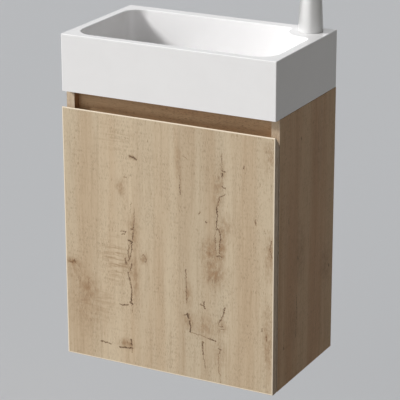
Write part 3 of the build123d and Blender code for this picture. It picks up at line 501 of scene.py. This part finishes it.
@dataclass(frozen=True)
class OakFinish:
    """Matt oak decor with planks, bands, fibres, pores, rays, clouds and open cracks.

    The pattern is a function of the place across and along the grain, in millimetres. A plank
    is its start and its tone. Cracks and clouds show only near the face, which is the depth
    of the board's decorated side, and the sway bends the fibres.
    """

    name: str
    grain: Grain
    left: float
    top: float
    light: Colour
    tan: Colour
    dark: Colour
    seed: float = 0.0
    cracks: tuple[Crack, ...] = ()
    clouds: tuple[Cloud, ...] = ()
    rays: tuple[Cloud, ...] = ()
    planks: tuple[tuple[float, float], ...] = ()
    face: float = 0.0
    sway: float = 6.0
    crack_core: Colour = srgb(66, 45, 28)
    crack_halo: Colour = srgb(136, 100, 64)
    check_colour: Colour = srgb(104, 76, 48)
    smudge: Colour = srgb(150, 112, 74)

    def board_place(self, sheet: NodeSheet) -> tuple[Socket, Socket]:
        """Read the place on the board.

        Args:
            sheet: The material that is being made.

        Returns:
            The place as (across, down, 0) in millimetres, and the depth in millimetres.
        """
        parts = sheet.add("ShaderNodeSeparateXYZ")
        sheet.links.new(sheet.vector("SCALE", sheet.place(), scale=1 / MM), parts.inputs[0])
        across, along, depth = (parts.outputs[axis] for axis in self.grain.value)
        joined = sheet.add("ShaderNodeCombineXYZ")
        sheet.feed(joined.inputs[0], sheet.calc("SUBTRACT", across, self.left))
        sheet.feed(joined.inputs[1], sheet.calc("SUBTRACT", self.top, along))
        return joined.outputs[0], depth

    def face_mask(self, sheet: NodeSheet, depth: Socket) -> Socket:
        """Tell the decorated face from the rest of the board.

        Args:
            sheet: The material that is being made.
            depth: Depth in the board, in millimetres.

        Returns:
            1 near the face, 0 away from it.
        """
        behind = sheet.calc("ABSOLUTE", sheet.calc("SUBTRACT", depth, self.face))
        return sheet.spread(behind, *FACE_DEPTH)

    def read(self, sheet: NodeSheet, place: Socket, layer: Layer) -> Socket:
        """Read one layer of the grain.

        Args:
            sheet: The material that is being made.
            place: Place on the board, in millimetres.
            layer: The layer.

        Returns:
            Its value, about 0.5 on average.
        """
        scaled = sheet.vector("MULTIPLY", place, (1 / layer.across, 1 / layer.along, 0.0))
        moved = sheet.vector("ADD", scaled, (self.seed, self.seed * SEED_SLANT, layer.shift))
        return sheet.noise(moved, 1.0, layer.detail, layer.roughness)

    def bend(self, sheet: NodeSheet, flat: Socket) -> Socket:
        """Bend the fibres a little to either side.

        Args:
            sheet: The material that is being made.
            flat: Place on the board, in millimetres.

        Returns:
            The place that the bent layers are read at.
        """
        sway = self.read(sheet, flat, SWAY)
        drift = sheet.add("ShaderNodeCombineXYZ")
        aside = sheet.calc("MULTIPLY_ADD", sway, self.sway, -self.sway / 2)
        sheet.feed(drift.inputs[0], aside)
        return sheet.vector("ADD", flat, drift.outputs[0])

    def crack_mask(self, sheet: NodeSheet, place: Socket) -> Socket:
        """Darkness of the cracks, knots and specks.

        Args:
            sheet: The material that is being made.
            place: Place on the board, in millimetres.

        Returns:
            Darkness, 0 to 1.
        """
        wander = sheet.add("ShaderNodeTexNoise", noise_dimensions="2D")
        sheet.feed(wander.inputs["Vector"], place)
        wander.inputs["Scale"].default_value = WANDER_SCALE
        wander.inputs["Detail"].default_value = WANDER_DETAIL
        push = sheet.vector("SUBTRACT", wander.outputs["Color"], NOISE_MIDDLE)
        bent = sheet.vector("ADD", place, sheet.vector("MULTIPLY", push, WANDER_REACH))
        ragged = sheet.spread(sheet.noise(place, *RAGGED), *RAGGED_SHARE)
        mask: Feed = 0.0
        for crack in self.cracks:
            chain = crack.points if len(crack.points) > 1 else crack.points * 2
            for start, end in zip(chain, chain[1:]):
                reach = Vector((end[0] - start[0], end[1] - start[1], 0.0))
                share = reach / max(reach.length_squared, LEAST_LENGTH_SQUARED)
                away = sheet.vector("SUBTRACT", bent, (*start, 0.0))
                along = sheet.vector("DOT_PRODUCT", away, tuple(share))
                held = sheet.calc("MINIMUM", sheet.calc("MAXIMUM", along, 0.0), 1.0)
                nearest = sheet.vector("SCALE", tuple(reach), scale=held)
                gap = sheet.vector("DISTANCE", away, nearest)
                shade = sheet.calc("MULTIPLY_ADD", gap, -crack.dark / crack.width, crack.dark)
                mask = sheet.calc("MAXIMUM", mask, shade)
        return sheet.calc("MINIMUM", sheet.calc("MULTIPLY", mask, ragged), 1.0)

    def oval(self, sheet: NodeSheet, place: Socket, cloud: Cloud) -> Socket:
        """Soft oval mask.

        Args:
            sheet: The material that is being made.
            place: Place on the board, in millimetres.
            cloud: The oval.

        Returns:
            Its raised strength at the middle, 1 at most, falling to 0 at the rim.
        """
        away = sheet.vector("SUBTRACT", place, (cloud.across, cloud.down, 0.0))
        near = sheet.vector("MULTIPLY", away, (1 / cloud.half_width, 1 / cloud.half_height, 0.0))
        middle = min(1.0, cloud.strength * CLOUD_GAIN)
        return sheet.spread(sheet.vector("LENGTH", near), 0.0, 1.0, middle, 0.0)

    def plank_tone(self, sheet: NodeSheet, place: Socket) -> Socket:
        """Brightness of the planks that the decor seems to be glued up from.

        Args:
            sheet: The material that is being made.
            place: Place on the board, in millimetres.

        Returns:
            A grey that multiplies the decor's colour.
        """
        parts = sheet.add("ShaderNodeSeparateXYZ")
        sheet.links.new(place, parts.inputs[0])
        widest = self.planks[-1][0] + LAST_PLANK
        ramp = sheet.add("ShaderNodeValToRGB")
        ramp.color_ramp.interpolation = "EASE"
        stops = ramp.color_ramp.elements
        stops[0].position, stops[0].color = 0.0, (*(self.planks[0][1],) * 3, 1.0)
        stops[1].position, stops[1].color = 1.0, (*(self.planks[-1][1],) * 3, 1.0)
        for (_, tone_before), (join, tone_after) in zip(self.planks, self.planks[1:]):
            for across, tone in ((join - PLANK_JOIN, tone_before), (join + PLANK_JOIN, tone_after)):
                stop = stops.new(across / widest)
                stop.color = (tone, tone, tone, 1.0)
        sheet.feed(ramp.inputs[0], sheet.calc("DIVIDE", parts.outputs["X"], widest))
        return ramp.outputs["Color"]

    def grown(self, sheet: NodeSheet, flat: Socket, place: Socket, fibre: Socket) -> Socket:
        """Colour the wood from its bands, streaks, planks, fibres and dashes.

        Args:
            sheet: The material that is being made.
            flat: Place on the board, in millimetres.
            place: The same place with the fibres' bend.
            fibre: The fibres.

        Returns:
            The colour.
        """
        colour = sheet.tint(self.light, self.read(sheet, place, BAND), BAND_SHARE, self.tan)
        streak = self.read(sheet, place, STREAK)
        colour = sheet.tint(colour, streak, STREAK_SHARE, self.dark)
        colour = sheet.tint(colour, streak, BRIGHT_SHARE, toned(self.light, BRIGHT_TONE))
        if self.planks:
            colour = sheet.blend(1.0, colour, self.plank_tone(sheet, flat), "MULTIPLY")
        colour = sheet.tint(colour, fibre, FIBRE_SHARE, self.dark)
        return sheet.tint(colour, self.read(sheet, place, DASH), DASH_SHARE, self.dark)

    def marked(self, sheet: NodeSheet, flat: Socket, place: Socket, shown: Socket,
               colour: Socket) -> Socket:
        """Add the ripples, rays, mottling and clouds.

        Args:
            sheet: The material that is being made.
            flat: Place on the board, in millimetres.
            place: The same place with the fibres' bend.
            shown: 1 near the decorated face.
            colour: Colour of the wood.

        Returns:
            The marked colour.
        """
        ripple = self.read(sheet, flat, RIPPLE)
        colour = sheet.tint(colour, ripple, RIPPLE_SHARE, self.dark)
        for ray in self.rays:
            here = sheet.calc("MULTIPLY", self.oval(sheet, flat, ray),
                              sheet.spread(ripple, *RAY_SHARE))
            colour = sheet.blend(here, colour, self.dark)
        mottle = self.read(sheet, place, MOTTLE)
        colour = sheet.tint(colour, mottle, MOTTLE_SHARE, self.dark)
        check = sheet.spread(self.read(sheet, place, CHECK), *CHECK_SHARE)
        for cloud in self.clouds:
            oval = sheet.calc("MULTIPLY", self.oval(sheet, flat, cloud), shown)
            here = sheet.calc("MULTIPLY", oval, sheet.spread(mottle, *CLOUD_SHARE))
            colour = sheet.blend(here, colour, self.smudge)
            colour = sheet.blend(sheet.calc("MULTIPLY", oval, check), colour, self.check_colour)
        return colour

    def pores(self, sheet: NodeSheet, place: Socket) -> Socket:
        """Read the pores, which lie in patches.

        Args:
            sheet: The material that is being made.
            place: Place on the board with the fibres' bend, in millimetres.

        Returns:
            1 in a pore, 0 beside it.
        """
        pore = sheet.spread(self.read(sheet, place, PORE), *PORE_SHARE)
        patch = sheet.spread(self.read(sheet, place, PORE_PATCH), *PORE_PATCH_SHARE)
        return sheet.calc("MULTIPLY", pore, patch)

    def make(self) -> bpy.types.Material:
        """Build the material."""
        sheet = NodeSheet(self.name)
        flat, depth = self.board_place(sheet)
        shown = self.face_mask(sheet, depth)
        place = self.bend(sheet, flat)
        fibre = self.read(sheet, place, FIBRE)
        colour = self.grown(sheet, flat, place, fibre)
        colour = self.marked(sheet, flat, place, shown, colour)
        pores = self.pores(sheet, place)
        shade = sheet.calc("MULTIPLY", pores, PORE_SHADE)
        colour = sheet.blend(shade, colour, toned(self.dark, PORE_TONE))
        height = sheet.calc("MULTIPLY", pores, PORE_HEIGHT)
        if self.cracks:
            crack = sheet.calc("MULTIPLY", self.crack_mask(sheet, flat), shown)
            colour = sheet.tint(colour, crack, HALO_SHARE, self.crack_halo)
            colour = sheet.tint(colour, crack, CORE_SHARE, self.crack_core)
            height = sheet.calc("SUBTRACT", height, crack)
        sheet.set(
            Base_Color=colour,
            Roughness=sheet.spread(fibre, *FIBRE_ROUGHNESS),
            Specular_IOR_Level=OAK_SPECULAR,
        )
        height = sheet.calc("MULTIPLY_ADD", fibre, FIBRE_HEIGHT, height)
        sheet.relief(height, OAK_RELIEF, OAK_RELIEF_STRENGTH)
        return sheet.material


@dataclass(frozen=True)
class EdgingFinish:
    """Edge band of the door: wood-coloured outside, with a painted highlight along the front: a
    pale cream band on the arris.

    The front is the arris's place along Y, and how far the painted highlight's edge strays is given
    in metres.
    """

    name: str
    front: float
    wood: Colour
    streak: Colour
    # Colour of the painted highlight on the front arris
    arris_highlight: Colour
    arris_width: float = 0.0009
    arris_core: float = 0.4
    highlight_stray: float = 0.0006
    highlight_stray_texture: Texture = Texture(420.0)
    stretch: tuple[float, float, float] = (60.0, 900.0, 60.0)
    grain: Texture = Texture(1.0, 3.0, 0.6)
    grain_span: Span = Span(0.35, 0.7)
    roughness: Span = Span(0.3, 0.8, 0.4, 0.55)
    depth: float = 0.0001
    strength: float = 0.4

    def make(self) -> bpy.types.Material:
        """Build the material."""
        sheet = NodeSheet(self.name)
        place = sheet.place()
        parts = sheet.add("ShaderNodeSeparateXYZ")
        sheet.links.new(place, parts.inputs[0])
        grain = sheet.noise(sheet.vector("MULTIPLY", place, self.stretch), *self.grain)
        colour = sheet.tint(self.wood, grain, self.grain_span, self.streak)
        # Painted highlight: pale cream within a set width of the front, with a ragged edge from
        # noise
        highlight_edge_noise = sheet.noise(place, *self.highlight_stray_texture)
        ragged = sheet.calc("MULTIPLY_ADD", highlight_edge_noise, self.highlight_stray, -self.highlight_stray / 2)
        behind = sheet.calc("SUBTRACT", sheet.calc("ADD", parts.outputs["Y"], ragged), self.front)
        pale = Span(self.arris_width * self.arris_core, self.arris_width, 1.0, 0.0)
        colour = sheet.tint(colour, behind, pale, self.arris_highlight)
        sheet.set(Base_Color=colour, Roughness=sheet.spread(grain, *self.roughness))
        sheet.relief(grain, self.depth, self.strength)
        return sheet.material


def dress(material: bpy.types.Material, *nodes: str) -> None:
    """Give carried-over pieces their finish.

    Args:
        material: The finish.
        nodes: Names of the pieces.
    """
    for node in nodes:
        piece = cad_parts[node]
        piece.data.materials.clear()
        piece.data.materials.append(material)


# Marks of the door's decor, across and down from its top left corner
DOOR_CRACKS = (
    Crack(((130, 69), (137, 70.5), (143, 73)), 2.6),
    Crack(((225.5, 88), (226, 100)), 0.8, 0.6),
    Crack(((226, 100), (226, 122)), 1.2, 1.0),
    Crack(((303.5, 40), (304.5, 66)), 1.1, 0.7),
    Crack(((304, 68), (309, 70)), 2.0, 0.9),
    Crack(((304.5, 74), (305, 80)), 1.9, 1.0),
    Crack(((305, 80), (305.5, 94)), 0.9, 0.5),
    Crack(((304.5, 96), (310, 98.5)), 1.8, 1.0),
    Crack(((311, 108), (306, 112), (300, 115), (298, 124), (294.5, 134)), 1.1, 0.8),
    Crack(((294.5, 134), (296, 148), (294.5, 160), (294, 172)), 1.5, 1.0),
    Crack(((295, 172), (291, 184), (292.5, 200), (292, 210)), 1.0, 0.8),
    Crack(((295, 170), (300, 175), (302, 187), (300, 200), (300, 214)), 1.5, 0.9),
    Crack(((293, 219), (304, 219)), 1.7, 0.8),
    Crack(((344, 55), (343.5, 59)), 1.7, 0.9),
    Crack(((263, 147), (261.5, 151)), 1.6, 0.8),
    Crack(((274, 162), (276, 163)), 1.6, 0.8),
    Crack(((366, 143), (366, 153)), 1.1, 0.7),
    Crack(((30, 95), (30, 98)), 1.8, 0.45),
    Crack(((111, 206), (116, 205), (121, 205), (118, 210), (112, 211)), 1.3, 0.8),
    Crack(((131, 199), (135, 199), (136, 195)), 1.7, 1.0),
    Crack(((138.5, 162), (137, 185), (135.5, 204)), 1.0, 0.75),
    Crack(((135.5, 204), (134, 218)), 1.6, 0.9),
    Crack(((132, 152), (130, 170)), 0.9, 0.5),
    Crack(((126, 220), (133, 222), (130, 226)), 2.0, 1.0),
    Crack(((127, 229), (125, 242), (126, 252)), 1.7, 0.9),
    Crack(((133, 226), (131, 240), (128, 252), (125, 258)), 1.4, 0.9),
    Crack(((119, 254), (121, 264)), 2.3, 0.9),
    Crack(((132, 262), (129, 274)), 1.5, 0.9),
    Crack(((124, 279), (127, 290), (129, 299)), 1.8, 0.9),
    Crack(((129, 299), (131, 310), (130, 332)), 1.9, 1.1),
    Crack(((128, 333), (132, 336)), 2.8, 1.1),
    Crack(((131, 338), (131.5, 350)), 1.1, 0.6),
    Crack(((107, 340), (112, 342.5), (117, 340), (123, 338.5)), 1.8, 0.95),
    Crack(((151, 245), (154, 241), (158, 244), (161, 250), (158, 254)), 1.1, 0.7),
    Crack(((7, 279), (13, 279.5), (17, 274.5), (20, 279)), 1.9, 0.8),
    Crack(((236, 253), (236.5, 270), (237, 290), (238, 313)), 1.2, 0.85),
    Crack(((233, 337), (238, 334), (243, 333)), 1.7, 0.9),
    Crack(((239, 333), (241, 340)), 2.6, 1.1),
    Crack(((243, 346), (245, 356), (244, 365)), 2.3, 1.1),
    Crack(((246, 366), (265, 368), (280, 371)), 1.4, 0.55),
    Crack(((280, 371), (292, 372.5)), 1.9, 1.0),
    Crack(((271, 305), (269.5, 312), (273, 318)), 1.7, 1.0),
    Crack(((264, 312), (269, 312)), 1.5, 0.8),
    Crack(((310, 309), (307.5, 320), (304, 330), (299, 337)), 1.9, 0.85),
    Crack(((301, 345), (307, 344)), 1.3, 0.7),
    Crack(((302, 349), (308, 349)), 1.3, 0.7),
    Crack(((297.5, 338), (298, 380)), 0.8, 0.4),
    Crack(((298, 386), (303, 386), (300, 394)), 1.4, 0.8),
    Crack(((298, 394), (298, 424), (301, 434), (302, 450)), 1.0, 0.6),
    Crack(((268, 380), (268, 390), (269, 402)), 1.9, 1.0),
    Crack(((269, 402), (271, 414), (273, 427)), 1.1, 0.8),
    Crack(((68, 416.5), (79, 417.5), (88, 419)), 1.9, 0.9),
    Crack(((105, 421), (118, 419.5), (131, 418)), 2.3, 1.0),
    Crack(((128.5, 402), (129, 412)), 2.5, 1.0),
    Crack(((130, 412), (130, 427)), 1.4, 0.6),
    Crack(((46, 303), (43.5, 322)), 1.1, 0.45),
    Crack(((29, 302), (27, 318)), 1.1, 0.35),
    Crack(((379, 334), (379.5, 338)), 1.8, 0.8),
    Crack(((388, 345), (388, 354)), 1.8, 0.7),
    Crack(((395, 176), (393, 192), (396, 205)), 2.2, 0.7),
    Crack(((382, 160), (384, 164)), 1.8, 0.5),
    Crack(((122, 38), (128, 39)), 1.2, 0.4),
    Crack(((230, 54), (240, 58)), 1.5, 0.4),
    Crack(((117, 108), (124, 107)), 1.6, 0.45),
)

DOOR_CLOUDS = (
    Cloud(112, 127, 14, 24, 0.42),
    Cloud(284, 215, 30, 42, 0.45),
    Cloud(290, 255, 34, 34, 0.5),
    Cloud(119, 412, 26, 16, 0.5),
    Cloud(124, 262, 20, 34, 0.3),
    Cloud(312, 165, 22, 34, 0.3),
    Cloud(392, 205, 14, 60, 0.42),
    Cloud(390, 360, 16, 110, 0.38),
    Cloud(390, 30, 20, 40, 0.3),
    Cloud(20, 290, 34, 40, 0.28),
    Cloud(45, 360, 60, 80, 0.22),
    Cloud(240, 345, 20, 24, 0.35),
    Cloud(305, 70, 14, 44, 0.26),
    Cloud(134, 71, 16, 8, 0.3),
    Cloud(305, 200, 12, 60, 0.5),
    Cloud(297, 110, 16, 50, 0.35),
    Cloud(134, 200, 16, 50, 0.35),
    Cloud(138, 290, 10, 60, 0.4),
    Cloud(222, 60, 10, 50, 0.3),
    Cloud(240, 300, 14, 40, 0.35),
    Cloud(270, 350, 40, 30, 0.3),
    Cloud(300, 400, 20, 50, 0.3),
    Cloud(45, 320, 30, 40, 0.35),
    Cloud(12, 278, 20, 12, 0.5),
    Cloud(155, 249, 12, 14, 0.45),
    Cloud(305, 345, 14, 20, 0.4),
)

DOOR_RAYS = (
    Cloud(98, 262, 42, 62, 0.45),
    Cloud(60, 345, 70, 50, 0.2),
    Cloud(100, 40, 60, 40, 0.16),
)

# Start and tone of each plank of the door's decor
DOOR_PLANKS = ((0.0, 1.0), (70.0, 1.05), (137.0, 1.0), (222.0, 0.93), (308.0, 0.97))

# Marks of the right side's decor, across and down from its top front corner
SIDE_CRACKS = (
    Crack(((202, 316), (205, 320)), 2.6, 0.9),
    Crack(((96, -28), (99, -24)), 2.2, 0.8),
    Crack(((82, 51), (83, 56)), 1.8, 0.7),
    Crack(((37, 180), (38, 190)), 1.6, 0.7),
    Crack(((74, 259), (77, 264)), 2.4, 0.8),
    Crack(((72, 327), (73, 360), (71, 404)), 1.4, 0.8),
    Crack(((22, 404), (25, 409)), 2.4, 0.8),
    Crack(((225, 66), (226, 72)), 1.8, 0.6),
    Crack(((150, 30), (151, 96)), 1.0, 0.5),
    Crack(((118, 210), (116, 262)), 1.1, 0.5),
)

SIDE_CLOUDS = (
    Cloud(80, 250, 40, 90, 0.4),
    Cloud(190, 310, 34, 60, 0.4),
    Cloud(60, 380, 34, 60, 0.35),
    Cloud(150, 90, 40, 100, 0.25),
)


@dataclass
class Door:
    """The oak-faced door with its edge bands and bumpers."""

    light: Colour = srgb(211, 193, 165)
    tan: Colour = srgb(201, 178, 148)
    dark: Colour = srgb(158, 127, 94)
    # Pale cream painted along the front arris as its highlight
    arris_highlight: Colour = srgb(243, 228, 204)

    def dress(self) -> None:
        """Finish the door's pieces."""
        low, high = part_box("door_edge_bands")
        decor = OakFinish(
            "door_oak", Grain.DOOR, low.x / MM, high.z / MM, self.light, self.tan, self.dark,
            seed=2.3, cracks=DOOR_CRACKS, clouds=DOOR_CLOUDS, rays=DOOR_RAYS,
            planks=DOOR_PLANKS, face=low.y / MM,
        )
        dress(decor.make(), "door_panel")
        edging = EdgingFinish("door_edging_oak", low.y, self.tan, self.dark, self.arris_highlight)
        dress(edging.make(), "door_edge_bands")
        dress(MouldedFinish("bumper_clear", srgb(214, 214, 208), 0.3).make(), "door_bumpers")


@dataclass
class Cabinet:
    """The carcass: sides, bottom, rails and shelf, with the fittings that join them."""

    light: Colour = srgb(204, 172, 134)
    tan: Colour = srgb(189, 149, 110)
    dark: Colour = srgb(140, 99, 64)
    pale: Colour = srgb(212, 196, 174)
    pale_tan: Colour = srgb(202, 180, 152)

    def board(self, name: str, grain: Grain, seed: float,
              cracks: tuple[Crack, ...] = (), clouds: tuple[Cloud, ...] = ()) -> OakFinish:
        """Describe one board's decor, measured from the right side's top front corner.

        Args:
            name: Name of the finish.
            grain: How the grain lies.
            seed: Makes the board's pattern its own.
            cracks: Cracks and knots on it.
            clouds: Soft patches on it.

        Returns:
            The finish.
        """
        low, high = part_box("side_panel_right")
        return OakFinish(name, grain, low.y / MM, high.z / MM, self.light, self.tan, self.dark,
                         seed=seed, cracks=cracks, clouds=clouds, face=high.x / MM)

    def dress(self) -> None:
        """Finish the boards and their fittings."""
        right = self.board("side_oak_right", Grain.SIDE, 7.7, SIDE_CRACKS, SIDE_CLOUDS)
        dress(right.make(), "side_panel_right")
        dress(self.board("side_oak_left", Grain.SIDE, 11.9).make(), "side_panel_left")
        edges = replace(
            self.board("side_band_oak", Grain.DOOR, 1.1), light=self.pale, tan=self.pale_tan
        )
        dress(edges.make(), "side_edge_bands")
        rails = self.board("rail_oak", Grain.RAIL, 4.2).make()
        dress(rails, "grip_rail", "back_rail_top", "back_rail_bottom")
        dress(self.board("floor_oak", Grain.FLOOR, 15.4).make(), "bottom_panel", "shelf")
        zinc = MetalFinish("cast_zinc", srgb(168, 168, 166), 0.42, 0.15)
        dress(zinc.make(), "cam_locks")
        plated = MetalFinish("plated_steel", srgb(196, 196, 192), 0.3)
        dress(plated.make(), "cam_bolts", "shelf_pins")
        birch = OakFinish("dowel_birch", Grain.RAIL, 0.0, 0.0, srgb(222, 196, 150),
                          srgb(210, 180, 132), srgb(180, 146, 98), seed=19.0)
        dress(birch.make(), "wooden_dowels")
        sealant = MouldedFinish("sealant_white", srgb(232, 231, 226), 0.35, 300.0)
        dress(sealant.make(), "basin_sealant")


@dataclass
class Hinges:
    """Two cup hinges with their screws and pins."""

    ends: tuple[str, str] = ("upper", "lower")

    def dress(self) -> None:
        """Finish the hinges."""
        nickel = MetalFinish("hinge_nickel", srgb(205, 200, 190), 0.22).make()
        for end in self.ends:
            dress(nickel, *(f"hinge_{part}_{end}" for part in ("cup", "link", "arm", "plate")))
        screws = MetalFinish("screw_zinc", srgb(206, 206, 204), 0.28).make()
        dress(screws, "hinge_cup_screws", "hinge_pins", "hinge_plate_screws",
              "hinge_arm_screws")


@dataclass
class Basin:
    """The cast basin."""

    white: Colour = srgb(245, 244, 244)

    def dress(self) -> None:
        """Finish the basin."""
        cast = CastFinish("basin_cast_white", self.white, 0.22, 0.35)
        dress(cast.make(), "basin")


@dataclass
class Waste:
    """The push-plug waste and the bottle trap below it."""

    white: Colour = srgb(236, 236, 233)

    def dress(self) -> None:
        """Finish the waste and the trap."""
        polished = MetalFinish("waste_chrome", srgb(212, 214, 216), 0.07, 0.05).make()
        dress(polished, "waste_body", "waste_plug")
        rubber = MouldedFinish("rubber_black", srgb(38, 38, 38), 0.6).make()
        dress(rubber, "plug_seal", "waste_gaskets", "trap_cup_seal", "trap_slip_washers")
        grey = MouldedFinish("plastic_grey", srgb(120, 122, 124), 0.4).make()
        dress(grey, "plug_cartridge")
        white = MouldedFinish("trap_plastic_white", self.white, 0.28, 500.0).make()
        dress(white, "waste_nut", "trap_inlet_tube", "trap_body", "trap_cup",
              "trap_slip_nuts", "trap_outlet_pipe")


@dataclass
class Tap:
    """The white lever tap in the corner of the basin."""

    white: Colour = srgb(240, 240, 239)

    def dress(self) -> None:
        """Finish the tap."""
        coat = CastFinish("tap_white_coat", self.white, 0.24, 0.25).make()
        dress(coat, "tap_body", "tap_lever", "lever_screw_cover")
        rubber = MouldedFinish("tap_rubber", srgb(40, 40, 40), 0.6).make()
        dress(rubber, "tap_base_gasket", "tap_horseshoe_gasket")
        brass = MetalFinish("tap_brass", srgb(200, 172, 110), 0.32).make()
        dress(brass, "tap_stud", "tap_stud_nut")
        steel = MetalFinish("tap_steel", srgb(190, 190, 188), 0.3).make()
        dress(steel, "tap_horseshoe_plate", "carrier_pin", "lever_stem", "lever_screw")
        chrome = MetalFinish("tap_chrome", srgb(214, 216, 218), 0.06, 0.05).make()
        dress(chrome, "cartridge_nut")
        grey = MouldedFinish("tap_plastic", srgb(108, 110, 112), 0.4).make()
        dress(grey, "cartridge_housing", "stem_carrier", "tap_aerator")


@dataclass(frozen=True)
class Lamp:
    """Distant lamp: its strength, its spread in degrees and the way towards it."""

    name: str
    strength: float
    spread: float
    way: tuple[float, float, float]

    def build(self) -> None:
        """Make the lamp."""
        data = bpy.data.lights.new(self.name, "SUN")
        data.energy = self.strength
        data.angle = math.radians(self.spread)
        light = bpy.data.objects.new(self.name, data)
        light.rotation_euler = Vector(self.way).to_track_quat("Z", "Y").to_euler()
        bpy.context.scene.collection.objects.link(light)


@dataclass
class Studio:
    """Pale floor, soft lights and the camera at the photograph's place."""

    eye: tuple[float, float, float] = (1.45756, -2.87689, 0.92516)
    azimuth: float = 27.837
    elevation: float = 19.083
    roll: float = -0.155
    focal_pixels: float = 1913.6
    frame_pixels: float = 400.0
    sensor: float = 36.0
    far_clip: float = 100.0
    floor_drop: float = 0.30
    floor_size: float = 14.0
    floor_colour: Colour = srgb(208, 210, 213)
    floor_bounce: Colour = (0.32, 0.31, 0.29)
    floor_roughness: float = 0.9
    floor_specular: float = 0.1
    backdrop: Colour = (0.93, 0.94, 0.95)
    ambient: float = 0.09
    ambient_colour: Colour = (1.0, 0.97, 0.93)
    lamps: tuple[Lamp, ...] = (
        Lamp("key_light", 3.4, 12.0, (-0.742, -0.389, 0.545)),
        Lamp("fill_light", 1.1, 60.0, (-0.25, -0.95, 0.1)),
    )

    def camera(self) -> None:
        """Make the camera."""
        data = bpy.data.cameras.new("photo_camera")
        data.sensor_width = self.sensor
        data.lens = self.focal_pixels / self.frame_pixels * self.sensor
        data.clip_end = self.far_clip
        camera = bpy.data.objects.new("photo_camera", data)
        turn = (
            Matrix.Rotation(math.radians(self.azimuth), 4, "Z")
            @ Matrix.Rotation(math.radians(90.0 - self.elevation), 4, "X")
            @ Matrix.Rotation(math.radians(self.roll), 4, "Z")
        )
        camera.matrix_world = Matrix.Translation(self.eye) @ turn
        bpy.context.scene.collection.objects.link(camera)
        bpy.context.scene.camera = camera

    @staticmethod
    def seen_directly(nodes: bpy.types.Nodes, links: bpy.types.NodeLinks) -> Socket:
        """Tell rays that show a backdrop from those that only carry its light.

        Args:
            nodes: Nodes of the material or the world.
            links: Its links.

        Returns:
            1 for camera, glossy and transmission rays.
        """
        path = nodes.new("ShaderNodeLightPath")
        first, both = nodes.new("ShaderNodeMath"), nodes.new("ShaderNodeMath")
        first.operation = both.operation = "MAXIMUM"
        links.new(path.outputs["Is Camera Ray"], first.inputs[0])
        links.new(path.outputs["Is Glossy Ray"], first.inputs[1])
        links.new(first.outputs[0], both.inputs[0])
        links.new(path.outputs["Is Transmission Ray"], both.inputs[1])
        return both.outputs[0]

    def floor(self) -> None:
        """Make the floor, below the unit."""
        half = self.floor_size / 2
        height = cad_box[0][2] - self.floor_drop
        mesh = bpy.data.meshes.new("floor")
        corners = [(-half, -half), (half, -half), (half, half), (-half, half)]
        mesh.from_pydata([(x, y, height) for x, y in corners], [], [(0, 1, 2, 3)])
        floor = bpy.data.objects.new("floor", mesh)
        bpy.context.scene.collection.objects.link(floor)
        sheet = NodeSheet("floor_pale")
        shade = sheet.blend(
            self.seen_directly(sheet.nodes, sheet.links), self.floor_bounce, self.floor_colour
        )
        sheet.set(
            Base_Color=shade,
            Roughness=self.floor_roughness,
            Specular_IOR_Level=self.floor_specular,
        )
        mesh.materials.append(sheet.material)

    def world(self) -> None:
        """Make an even world light, which the camera and reflections see as near white."""
        world = bpy.data.worlds.new("studio")
        world.use_nodes = True
        nodes, links = world.node_tree.nodes, world.node_tree.links
        seen, lit = nodes["Background"], nodes.new("ShaderNodeBackground")
        seen.inputs["Color"].default_value = (*self.backdrop, 1.0)
        lit.inputs["Color"].default_value = (*self.ambient_colour, 1.0)
        lit.inputs["Strength"].default_value = self.ambient
        mixer = nodes.new("ShaderNodeMixShader")
        links.new(self.seen_directly(nodes, links), mixer.inputs[0])
        links.new(lit.outputs[0], mixer.inputs[1])
        links.new(seen.outputs[0], mixer.inputs[2])
        links.new(mixer.outputs[0], nodes["World Output"].inputs["Surface"])
        bpy.context.scene.world = world

    def build(self) -> None:
        """Set up the studio."""
        bpy.context.scene.view_settings.view_transform = "Standard"
        self.camera()
        self.floor()
        self.world()
        for lamp in self.lamps:
            lamp.build()


def main() -> None:
    """Build the studio and dress each sub-assembly in turn."""
    logging.basicConfig(level=logging.INFO, format="%(name)s: %(message)s")
    Studio().build()
    for part in (Basin(), Tap(), Waste(), Cabinet(), Door(), Hinges()):
        part.dress()
        LOG.info("dressed %s", type(part).__name__)


if __name__ == "__main__":
    main()
